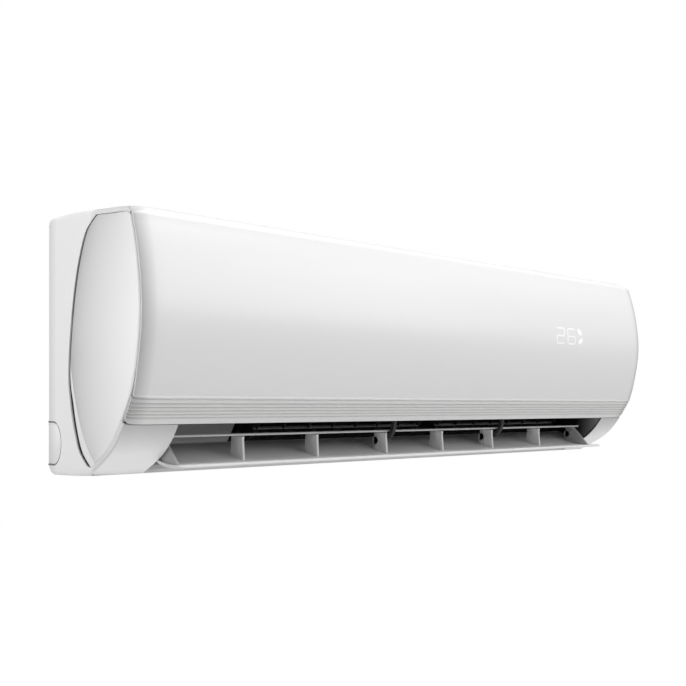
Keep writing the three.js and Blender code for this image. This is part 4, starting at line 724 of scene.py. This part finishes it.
def build_strip():
    """The strip under the panel: a plain lower lip, five grooves with painted shade along their bottoms, and
    a step under the panel's lip.
    """
    low, high = STRIP_BOTTOM + 0.02, STRIP_TOP - 0.06
    length = (spline(PROFILE, low) - spline(PROFILE, high)).length
    middles = [STRIP_LIP + GROOVE_WIDTH / 2 + groove * GROOVE_PITCH for groove in range(GROOVES)]
    face = [(0.0, 0.9), (0.12, 0.45), (0.5, STRIP_SINK), (STRIP_LIP * 0.5, STRIP_SINK)]
    for middle in middles:
        for side, sink in GROOVE_SHAPE:
            face.append((middle + side * GROOVE_WIDTH / 2, STRIP_SINK + sink * GROOVE_DEPTH))
    face += [(length - 2.1, STRIP_SINK), (length - 1.7, 0.5), (length - 1.5, 1.3), (length, 1.5)]
    knots = [(mix(low, high, distance / length), inset) for distance, inset in face]
    back = [(knot, STRIP_SINK + STRIP_THICKNESS) for knot in (knots[-1][0], knots[0][0])]
    rows = []
    for x in end_stations(GAP, 10):
        lift = 0.2 * fall(from_end(x) - GAP, 7, 1)
        raised = [(knot + lift * max(0.0, 1 - (knot - low) / 0.3), inset) for knot, inset in knots + back]
        rows.append([place(x, *surface(knot, inset, x)) for knot, inset in raised])
    piece("strip_grooved", skin(rows), "unit", "silver_white", STRIP_SATIN, ["trim_strip"], 28)
    # Grey bands along the groove bottoms, which carry painted shade.
    groove_shades, stations = [], end_stations(PANEL_END_GAP + 6, 6)
    for middle in middles:
        start, end = (mix(low, high, (middle + side) / length) for side in (-0.7, 0.7))
        groove_shades.append(band(start, end, 2, 0.1 + GROOVE_DEPTH, 0.5 + GROOVE_DEPTH, stations))
    piece("strip_groove_bottoms", together(*groove_shades), "unit", "silver_white", STRIP_GROOVE_SHADE, ["trim_strip"], 28)


# ------------ end caps
CAP_KNOTS = (0.05, 9.5)
CAP_BOW = points(
    (DEPTH - 117.3, 14), (DEPTH - 138.3, 33.5), (DEPTH - 155.3, 78), (DEPTH - 160.3, 123),
    (DEPTH - 146.3, HEIGHT - 86), (DEPTH - 123.3, HEIGHT - 32), (DEPTH - 96.3, HEIGHT - 13),
)
CAP_LENGTH = HEIGHT - 18


def cap_rim(margin, rows=60):
    """The rim of a cap, drawn in by a margin."""
    front, rear = [], []
    for row in range(rows + 1):
        share = mix(margin / CAP_LENGTH, 1 - margin / CAP_LENGTH, row / rows)
        inside = min(1.0, max(0.0, share))
        knot = mix(*CAP_KNOTS, inside)
        near = spline(PROFILE, knot) - outward(knot) * CAP_INSET
        far = spline(CAP_BOW, inside * (len(CAP_BOW) - 1))
        beyond = Vector((0, (share - inside) * CAP_LENGTH))
        inwards = (far - near).normalized() * min(margin, (far - near).length * 0.42)
        front.append(near + inwards + beyond)
        rear.append(far - inwards + beyond)
    return front, rear


def cap_shape():
    """A cap: a shallow dome with a rounded rim and a widening facet along its lower rear edge."""
    front, rear = cap_rim(GAP, 90)
    rear = [at + Vector((0.8, 0)) for at in rear]
    bm = bmesh.new()
    columns, rows = 44, len(front) - 1
    bmesh.ops.create_grid(bm, x_segments=columns, y_segments=rows, size=0.5)
    for vertex in bm.verts:
        along, across = round((vertex.co.y + 0.5) * rows), vertex.co.x + 0.5
        across -= math.sin(across * math.tau) / math.tau * 0.55
        near, far = front[along], rear[along]
        width = (far - near).length
        to_front, to_rear = across * width, (1 - across) * width
        to_end = min(along, rows - along) / rows * CAP_LENGTH
        rim = min(to_front, to_rear, to_end)
        facet = CAP_FACET * (1 - smooth_share(along / rows, 0.0, 0.6))
        sink = 0.15 + 1.1 * math.sin(math.pi * across) ** 2 + 1.2 * math.exp(-rim / 0.9)
        if facet > 0.5 and to_rear < facet:
            sink += 1.7 * (1 - to_rear / facet) * min(1.0, facet / 8)
        here = near.lerp(far, across)
        vertex.co = place(LEFT + min(sink, CAP_THICKNESS), here.x, here.y)
    if sum(face.normal.x for face in bm.faces) > 0:
        bmesh.ops.reverse_faces(bm, faces=bm.faces[:])
    bm.normal_update()
    rim = [edge for edge in bm.edges if len(edge.link_faces) == 1]
    for vertex in fresh_verts(bmesh.ops.extrude_edge_only(bm, edges=rim)):
        vertex.co.x = (LEFT + CAP_THICKNESS) * MM
    bmesh.ops.holes_fill(bm, edges=[e for e in bm.edges if len(e.link_faces) == 1], sides=0)
    bmesh.ops.recalc_face_normals(bm, faces=bm.faces[:])
    return bm


def build_caps():
    cap = cap_shape()
    piece("end_cap_right", mirrored(cap), "unit", "white_satin", CAP_WHITE, ["side_cap_right"], 40)
    piece("end_cap_left", cap, "unit", "white_satin", CAP_WHITE, ["side_cap_left"], 40)


# ------------ casing
def body_outline(inset, x, per_knot=5):
    """The closed section of the whole unit, moved inwards by an inset."""
    front = [surface(step / per_knot, inset, x) for step in range(REAR * per_knot + 1)]
    drop = inset + roll(x, 0, 0)
    rear_top = [
        Vector((9 - (8.4 - drop) * math.cos(turn), HEIGHT - 9 + (9 - drop) * math.sin(turn)))
        for turn in map(math.radians, (72, 54, 36, 18, 0))
    ]
    rear_low = [
        Vector((12.6 - (12 - drop) * math.cos(turn), 12 - (12 - drop) * math.sin(turn)))
        for turn in map(math.radians, (0, 15, 30, 45, 60, 75, 90))
    ]
    rises = ((DEPTH - 140, 2.1), (DEPTH - 124, 3.2))
    underside = [Vector((depth, height + inset + roll(x, depth, height))) for depth, height in rises]
    return front + rear_top + rear_low + underside


def body_form(inset, stations):
    """The whole unit as one closed form, moved inwards by an inset."""
    rows = [[place(x, *corner) for corner in body_outline(inset, x)] for x in stations]
    return skin(rows)


def band(start, end, steps, outer, inner, stations):
    """A closed band along the profile between two knots, of which the upper may vary along X."""
    rows = []
    for x in stations:
        knots = spread(start, end(x) if callable(end) else end, steps)
        front = [place(x, *surface(knot, outer, x)) for knot in knots]
        rows.append(front + [place(x, *surface(knot, inner, x)) for knot in reversed(knots)])
    return skin(rows)


def pipe_outline(margin, steps=18):
    """A knock-out cover's outline, straight at the rear and round in front."""
    radius = (PIPE_COVER_HIGH - PIPE_COVER_LOW) / 2
    middle = (PIPE_COVER_HIGH + PIPE_COVER_LOW) / 2
    arc = PIPE_COVER_DEPTH - radius * 0.8
    corners = [(0.8 - margin, middle - radius - margin)]
    for step in range(steps + 1):
        turn = math.radians(-90 + 180 * step / steps)
        across, up = (radius * 0.8 + margin) * math.cos(turn), (radius + margin) * math.sin(turn)
        corners.append((arc + across, middle + up))
    corners.append((0.8 - margin, middle + radius + margin))
    return corners


def grille_cutters():
    """The long slots of the intake on top, in bays between stiffeners."""
    slots = []
    width = (WINDOW_TO - WINDOW_FROM) / INTAKE_BAYS
    pitch = (PANEL_TOP_DEPTH - 14 - INTAKE_REAR) / INTAKE_ROWS
    for bay in range(INTAKE_BAYS):
        for row in range(INTAKE_ROWS):
            x, depth = WINDOW_FROM + bay * width, INTAKE_REAR + row * pitch
            slots.append(block(x + 3, x + width - 3, depth, depth + pitch * 0.66, HEIGHT - 25, HEIGHT + 5))
    return together(*slots)


def cap_joint(forward, backward, x_to, x_from=LEFT - 1):
    """A plate along a cap's bowed rear edge, from a little in front of it to a little behind."""
    bow = [spline(CAP_BOW, step / 8) for step in range(8 * (len(CAP_BOW) - 1) + 1)]
    ahead = [(at.x + forward, at.y) for at in bow]
    return plate(ahead + [(at.x - backward, at.y) for at in reversed(bow)], x_from, x_to)


def cap_pocket(x_to):
    """A plate of a cap's outline, from outside the end inwards."""
    front, rear = cap_rim(0)
    return plate(front + rear[::-1], LEFT - 1, x_to)


def build_casing_shell():
    """The moulded shell, with the panel's recess, the caps' pockets, the outlet and the intake."""
    stations = end_stations(0, 6)
    shell = rough("casing_shell", body_form(0, stations))
    inside = (LEFT + SHELL_WALL, RIGHT - SHELL_WALL)
    recess = [LEFT - 3] + [x for x in stations if LEFT < x < RIGHT] + [RIGHT + 3]
    recess_band = band(STRIP_BOTTOM, lambda x: panel_top(x) + 0.05, 40, -8, SKIN_INSET, recess)
    outlet = (OUTLET_FROM, OUTLET_TO, DEPTH - SILL_BACK - 4, DEPTH + 9, -5, OUTLET_TOP + 4)
    carve(
        shell,
        rough("hollow", body_form(SHELL_WALL, end_stations(SHELL_WALL, 2))),
        rough("back", block(*inside, -5, 30, 12, HEIGHT - SHELL_WALL - 0.5)),
        rough("sill", block(*inside, -5, DEPTH - SILL_BACK + 1, -5, 80)),
        rough("recess", recess_band),
        rough("outlet", block(*outlet)),
    )
    for cutter in (
        cap_pocket(LEFT + CAP_THICKNESS + GAP), cap_joint(1, CAP_GAP, LEFT + JOINT_DEPTH),
        plate(pipe_outline(0), LEFT - 1, LEFT + 9),
    ):
        far = mirrored(cutter)
        carve(shell, rough("near", cutter), rough("far", far))
    carve(shell, rough("slots", grille_cutters()))
    finish(shell, *CASING, 30)


def build_casing_face():
    """The wall behind the panel, with the filters' windows and the button's guide tube."""
    outline = (STRIP_BOTTOM + 0.02, PANEL_TOP - 0.12, 60, SKIN_INSET, SKIN_INSET + SHELL_WALL)
    face = rough("casing_face", band(*outline, end_stations(2.4, 8)))
    low_knot = knot_at_height(FILTER_LOW + 6)
    middle = (WINDOW_FROM + WINDOW_TO) / 2
    for start, end in ((WINDOW_FROM, middle - MULLION / 2), (middle + MULLION / 2, WINDOW_TO)):
        carve(face, rough("window", band(low_knot, PANEL_TOP - 0.55, 24, -8, 10, [start + 6, end - 6])))
    skin_depth = surface(knot_at_height(BUTTON_HEIGHT), SKIN_INSET, 0).x
    guide = peg(BUTTON_RADIUS + 1.8, BUTTON_X, skin_depth - 8.4, skin_depth - 1.2, BUTTON_HEIGHT)
    bore = peg(BUTTON_RADIUS + GAP, BUTTON_X, DEPTH - 40, DEPTH + 5, BUTTON_HEIGHT)
    carve(face, rough("guide", guide), operation="UNION")
    carve(face, rough("button_bore", bore))
    finish(face, *CASING, 30)


def build_casing_sides():
    """The walls inside both ends, the closed walls behind the caps and dark strips of painted shade in the
    seams beside them.
    """
    rim = [corner for corner in body_outline(SKIN_INSET + 1.5, LEFT + 4) if corner.x > 40]
    sides = rough("casing_sides", both_ends(plate(rim, LEFT + 0.9, LEFT + SHELL_WALL + 0.2)))
    for cutter in (cap_pocket(LEFT + 3), cap_joint(1, CAP_GAP, LEFT + JOINT_DEPTH)):
        carve(sides, rough("cutter", both_ends(cutter)))
    finish(sides, *CASING, 30)
    backing = plate(backing_outline(), LEFT + JOINT_DEPTH, LEFT + JOINT_DEPTH + 1.5)
    piece("cap_backing", both_ends(backing), *CASING)
    # A dark strip in each cap's seam: painted shade standing in for the seam's shadow.
    seam_shade = cap_joint(0.9, 1.7, LEFT + 4.1, LEFT + 1.8)
    piece("cap_joint_seam_shade", both_ends(seam_shade), "unit", "rubber", RUBBER, ["front_casing"])


def build_outlet_walls():
    """The outlet's cheeks, the ledge above it and the cradles of the panel's pins."""
    cheek = [surface(knot, 0.3, 0) for knot in spread(0.3, STRIP_BOTTOM - 0.02, 24)]
    cheek += [surface(STRIP_BOTTOM, SKIN_INSET + 0.2, 0), (DEPTH - 56, OUTLET_TOP + 6.5)]
    cheek += [(DEPTH - 62, OUTLET_TOP + 20), (79.6, 69.4), (69.1, 50), (96.2, 18)]
    spans = ((OUTLET_FROM - SHELL_WALL, OUTLET_FROM), (OUTLET_TO, OUTLET_TO + SHELL_WALL))
    walls = rough("outlet_cheeks", together(*(plate(cheek, *span) for span in spans)))
    carve(walls, rough("pivot_bore", rod(PIN_RADIUS + 0.45, LEFT + 30, RIGHT - 30, *PIVOT, 36)))
    # The cheeks' inner faces carry painted shade, deepening further into the outlet.
    finish(walls, "unit", "dark_plastic", CHEEK_INSIDE, ["front_casing"], 30)
    ledge = [
        (DEPTH - 56, OUTLET_TOP + 3.2), surface(STRIP_BOTTOM + 0.05, SKIN_INSET + 0.3, 0),
        surface(STRIP_BOTTOM + 0.12, SKIN_INSET + 0.3, 0), (DEPTH - 49, OUTLET_TOP + 9 - GAP),
        (DEPTH - 52, OUTLET_TOP + 9 - GAP), (DEPTH - 56, OUTLET_TOP + 5.6),
    ]
    ledges = [plate(ledge, OUTLET_FROM - 0.5, OUTLET_TO + 0.5, 0.4)]
    arc = [math.radians(angle) for angle in range(-16, -170, -12)]
    seat = [(HINGE[0] + 2.3 * math.cos(turn), HINGE[1] + 2.3 * math.sin(turn)) for turn in arc]
    foot, step, top = HEIGHT - 24, HEIGHT - 14.5, HINGE[1] - 0.6
    cradle = [(145, foot), (165, foot), (165, step), (155, step), (155, top), *seat, (145, top)]
    ledges += [plate(cradle, x - 4, x + 4, 0.3) for x in HINGES]
    piece("strip_ledge", together(*ledges), *CASING)


def backing_outline():
    """The closed wall behind a cap, kept inside the unit's end."""
    front, rear = cap_rim(-5)
    outline = []
    for index, corner in enumerate(front):
        limit = surface(mix(*CAP_KNOTS, index / (len(front) - 1)), SKIN_INSET, LEFT + 5).x
        outline.append(Vector((min(corner.x, limit), corner.y)))
    return outline + rear[::-1]


def build_pipe_covers():
    """The knock-out covers, each with a raised line, and dark rings of painted shade in the grooves round
    them.
    """
    cover = plate(pipe_outline(-1.9), LEFT + 0.35, LEFT + 0.6 + SHELL_WALL, 0.35, 2)
    # A dark ring in each groove: painted shade standing in for the gap's shadow.
    groove = plate(pipe_outline(-0.05) + pipe_outline(-1.85)[::-1], LEFT + 0.3, LEFT + 2.4)
    piece("knock_out_grooves", both_ends(groove), "unit", "rubber", KNOCK_OUT_SHADE, ["pipe_cover_left"], 40)
    lip = plate([(2, 57.2), (26, 57.2), (26, 56.3), (2, 56.3)], LEFT + 0.25, LEFT + 0.9, 0.1)
    covers = together(cover, lip)
    piece("knock_out_right", mirrored(covers), "unit", "white_satin", WHITE_SATIN, ["pipe_cover_right"], 40)
    piece("knock_out_left", covers, "unit", "white_satin", WHITE_SATIN, ["pipe_cover_left"], 40)


# ------------ louvre
def shut(depth, height):
    """A place on the louvre as it lies when closed, from its pivot."""
    return (PIVOT[0] + depth, PIVOT[1] + height)


BLADE_CORNER = (
    (0, 0.2), (0.6, 0.15), (1.8, 0.1), (3.6, 0.065), (6, 0.04), (9, 0.02), (12.5, 0.006), (16, 0),
)
INNER_BLADE = ((-9.6, 5.6), (4.4, 22.4), (4.2, 23.8), (2.6, 24.2), (-11.2, 7.4), (-11, 6))


def hang(name, bm, material, node="louvre_outer_blade"):
    """A piece of the louvre, shaped as it lies when closed and turned open about its pivot."""
    turn = Matrix.Rotation(math.radians(LOUVRE_OPEN), 3, "X")
    bmesh.ops.rotate(bm, cent=place(0, *PIVOT), matrix=turn, verts=bm.verts[:])
    piece(name, bm, "louvre", "white_satin", material, [node], 40)


def rib(x, foot_to, steps, head):
    """A plate across the louvre that stands on the outer blade's inside."""
    foot = [surface(knot, 1.4, 0) for knot in spread(0.95, foot_to, steps)]
    return plate(foot + [shut(*at) for at in head], x - STRUT_THICKNESS / 2, x + STRUT_THICKNESS / 2, 0.45)


def build_louvre():
    """The outer blade with a thin sheet of painted shade over its inside, struts, gussets and pivots, and
    the inner blade.
    """
    start, end = OUTLET_FROM + 0.9, OUTLET_TO - 0.9
    stations = [(start + distance, shortening) for distance, shortening in BLADE_CORNER]
    stations += [(mix(start + 16, end - 16, share / 6), 0) for share in range(1, 6)]
    stations += [(end - distance, shortening) for distance, shortening in reversed(BLADE_CORNER)]
    rows, inside_shade = [], []
    for x, shortening in stations:
        outer = [surface(knot, GAP, 0) for knot in spread(0.1, 2.95 - shortening, 30)]
        inner = [surface(knot, GAP + LOUVRE_THICKNESS, 0) for knot in spread(0.16, 2.9 - shortening, 30)]
        tip = (outer[-1] + inner[-1]) / 2 + (outer[-1] - outer[-2]).normalized()
        heel = (outer[0] + inner[0]) / 2 + (outer[0] - outer[1]).normalized() * 0.9
        rows.append([place(x, *corner) for corner in outer + [tip] + inner[::-1] + [heel]])
        # A thin sheet over the blade's inside that carries painted shade.
        knots = spread(0.22, 2.84 - shortening, 30)
        near = [place(x, *surface(knot, 0.36 + LOUVRE_THICKNESS, 0)) for knot in knots]
        inside_shade.append(near + [place(x, *surface(knot, LOUVRE_THICKNESS, 0)) for knot in reversed(knots)])
    blade = skin(rows)
    round_edges(blade, 0.7, 3, 40)
    parts = [blade]
    pin_ends = (ARMS[0] + 3.5, ARMS[1] + 3.5, OUTLET_FROM - 14, OUTLET_TO + 5)
    for x, pin_to in zip((STRUTS[2], STRUTS[4], *GUSSETS), pin_ends):
        parts.append(rod(5.4, x - STRUT_THICKNESS / 2, x + STRUT_THICKNESS / 2, *PIVOT, 28, 0.3))
        parts.append(rod(PIN_RADIUS, min(x, pin_to), max(x, pin_to), *PIVOT, 24, 0.3))
    struts = [rib(x, 1.92, 8, ((8.2, 18.5), (4.8, 22.1), (-9.3, 5.2))) for x in STRUTS]
    gussets = [rib(x, 2.75, 14, ((-0.7, 16.9), (-9.3, 5.2))) for x in GUSSETS]
    hang("louvre_struts", together(*struts), STRUT_WHITE)
    hang("louvre_gussets", together(*gussets), GUSSET_SHADED)
    hang("louvre_blade", together(*parts), OUTER_BLADE_WHITE)
    hang("louvre_inside_shade", skin(inside_shade), LOUVRE_INSIDE)

    section = [(depth - GAP, height + GAP) for depth, height in (shut(*corner) for corner in INNER_BLADE)]
    inner = rough("inner", plate(section, GUSSETS[0] - 3, GUSSETS[1] + 2))
    reach = (PIVOT[0] - 3, PIVOT[0] + 20, PIVOT[1] + 14, HEIGHT)
    carve(inner, rough("notches", together(*(block(x - 5, x + 6, *reach) for x in ARMS))))
    bm = shape_of(inner)
    round_edges(bm, 0.5, 2, 30)
    hang("louvre_inner", bm, LOUVRE_WHITE, "louvre_inner_blade")


ARM_LINE, ARM_HALF = ((0, 0), (11, 0.8), (20, 6), (26, 15), (28, 28.4)), 2.6


def build_arms():
    """The hooked arms on which the louvre hangs."""
    line = points(*(shut(*at) for at in ARM_LINE))
    near, far = [], []
    for step in range(33):
        at = step / 8
        along = (spline(line, min(at + 0.02, 4)) - spline(line, max(at - 0.02, 0))).normalized()
        side = Vector((along.y, -along.x)) * ARM_HALF
        near.append(spline(line, at) + side)
        far.append(spline(line, at) - side)
    for x, end in zip(ARMS, ("left", "right")):
        sides = (x - ARM_THICKNESS / 2, x + ARM_THICKNESS / 2)
        arm = rough("arm", plate(near + far[::-1], *sides))
        carve(arm, rough("ring", rod(2 * PIN_RADIUS, *sides, *PIVOT, 36)), operation="UNION")
        carve(arm, rough("bore", rod(PIN_RADIUS + GAP, x - 3, x + 3, *PIVOT, 36)))
        bm = shape_of(arm)
        round_edges(bm, 0.5, 2, 40)
        piece("arm_hook_" + end, bm, "unit", "dark_plastic", DARK, ["louvre_arm_" + end], 40)


# ------------ finishes of the inner parts
INNER_FINISHES = (
    (HOUSING_SHELL, "rear_housing"), (GALVANISED, "wall_plate"), (DUCT_BLACK, "drain_pan"),
    (END_WALL_GREY, "outlet_end_wall"), (ROD_GREY, "tie_rod_left tie_rod_right"),
    (FAN_BLACK, "fan_rotor"), (STEEL, "fan_shaft fan_stub_shaft"), (RUBBER, "fan_bearing"),
    (MOTOR_CAN, "fan_motor louvre_motor"), (NET, "air_filter_left air_filter_right"),
    (HOUSING, "motor_bracket bearing_holder pipe_clamp electrical_box electrical_box_cover"),
    (FINS, "evaporator_front evaporator_upper evaporator_rear"),
    (COPPER, "coil_end_left coil_end_right suction_pipe liquid_pipe"),
    (BRASS, "suction_flare_nut liquid_flare_nut"), (CIRCUIT, "control_board display_board"),
    (DARK, "terminal_block button_switch"), (WHITE_SATIN, "manual_button"),
)


def dress_inner_parts():
    """Gives the parts that stay as they were packed their finishes; the vanes are dark."""
    finishes = {name: material for material, names in INNER_FINISHES for name in names.split()}
    for name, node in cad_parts.items():
        material = DARK if name.startswith("vane_") else finishes.get(name)
        if material:
            node.data.materials.clear()
            node.data.materials.append(material)


# ------------ stage and light
def build_stage():
    """A large white floor that the camera sees lit from within, so that it stays even."""
    bm = bmesh.new()
    bmesh.ops.create_grid(bm, x_segments=1, y_segments=1, size=6)
    bmesh.ops.translate(bm, vec=(0, 0, -1.0), verts=bm.verts[:])
    floor = rough("floor", bm)
    made = Finish("floor_white", (0.8, 0.8, 0.8), 0.9)
    made.vary(3, 0.01)
    glow = made.node("ShaderNodeEmission", Strength=1.12)
    path = made.node("ShaderNodeLightPath")
    share = made.maths("MULTIPLY", path.outputs["Is Camera Ray"], 0.85)
    blend = made.node("ShaderNodeMixShader")
    for signal, socket in zip((share, made.shader.outputs[0], glow.outputs[0]), blend.inputs):
        made.links.new(signal, socket)
    made.links.new(blend.outputs[0], made.nodes["Material Output"].inputs["Surface"])
    floor.data.materials.append(made.material)


def lamp(name, where, aim, size, power):
    """A rectangular lamp at a place, turned towards another."""
    light = bpy.data.lights.new(name, "AREA")
    light.shape = "RECTANGLE"
    light.size, light.size_y = size
    light.energy = power
    made = bpy.data.objects.new(name, light)
    scene.collection.objects.link(made)
    made.location = where
    made.rotation_euler = (Vector(aim) - Vector(where)).to_track_quat("-Z", "Y").to_euler()


def build_light():
    """Three lamps, and a world that is brighter to the camera than it shines on the unit."""
    world = scene.world or bpy.data.worlds.new("world")
    scene.world = world
    world.use_nodes = True
    nodes, links = world.node_tree.nodes, world.node_tree.links
    background = nodes["Background"]
    path = nodes.new("ShaderNodeLightPath")
    level = nodes.new("ShaderNodeMapRange")
    level.inputs["To Min"].default_value = 0.39
    links.new(path.outputs["Is Camera Ray"], level.inputs["Value"])
    background.inputs["Color"].default_value = (1, 1, 1, 1)
    links.new(level.outputs["Result"], background.inputs["Strength"])
    lamp("overhead", (0.1, -0.9, 2.2), (0, -0.1, 0), (2.6, 1.6), 54)
    lamp("front", (1.3, -2.4, 0.9), (0, -0.1, 0), (2.0, 1.4), 15)
    lamp("left", (-2.1, 1.4, 0.7), (-0.4, -0.1, 0), (1.8, 1.8), 30)


build_panel()
build_display()
build_strip()
build_caps()
build_casing_shell()
build_casing_face()
build_casing_sides()
build_outlet_walls()
build_pipe_covers()
build_louvre()
build_arms()
dress_inner_parts()
build_stage()
build_light()
scene.view_settings.view_transform = "Standard"
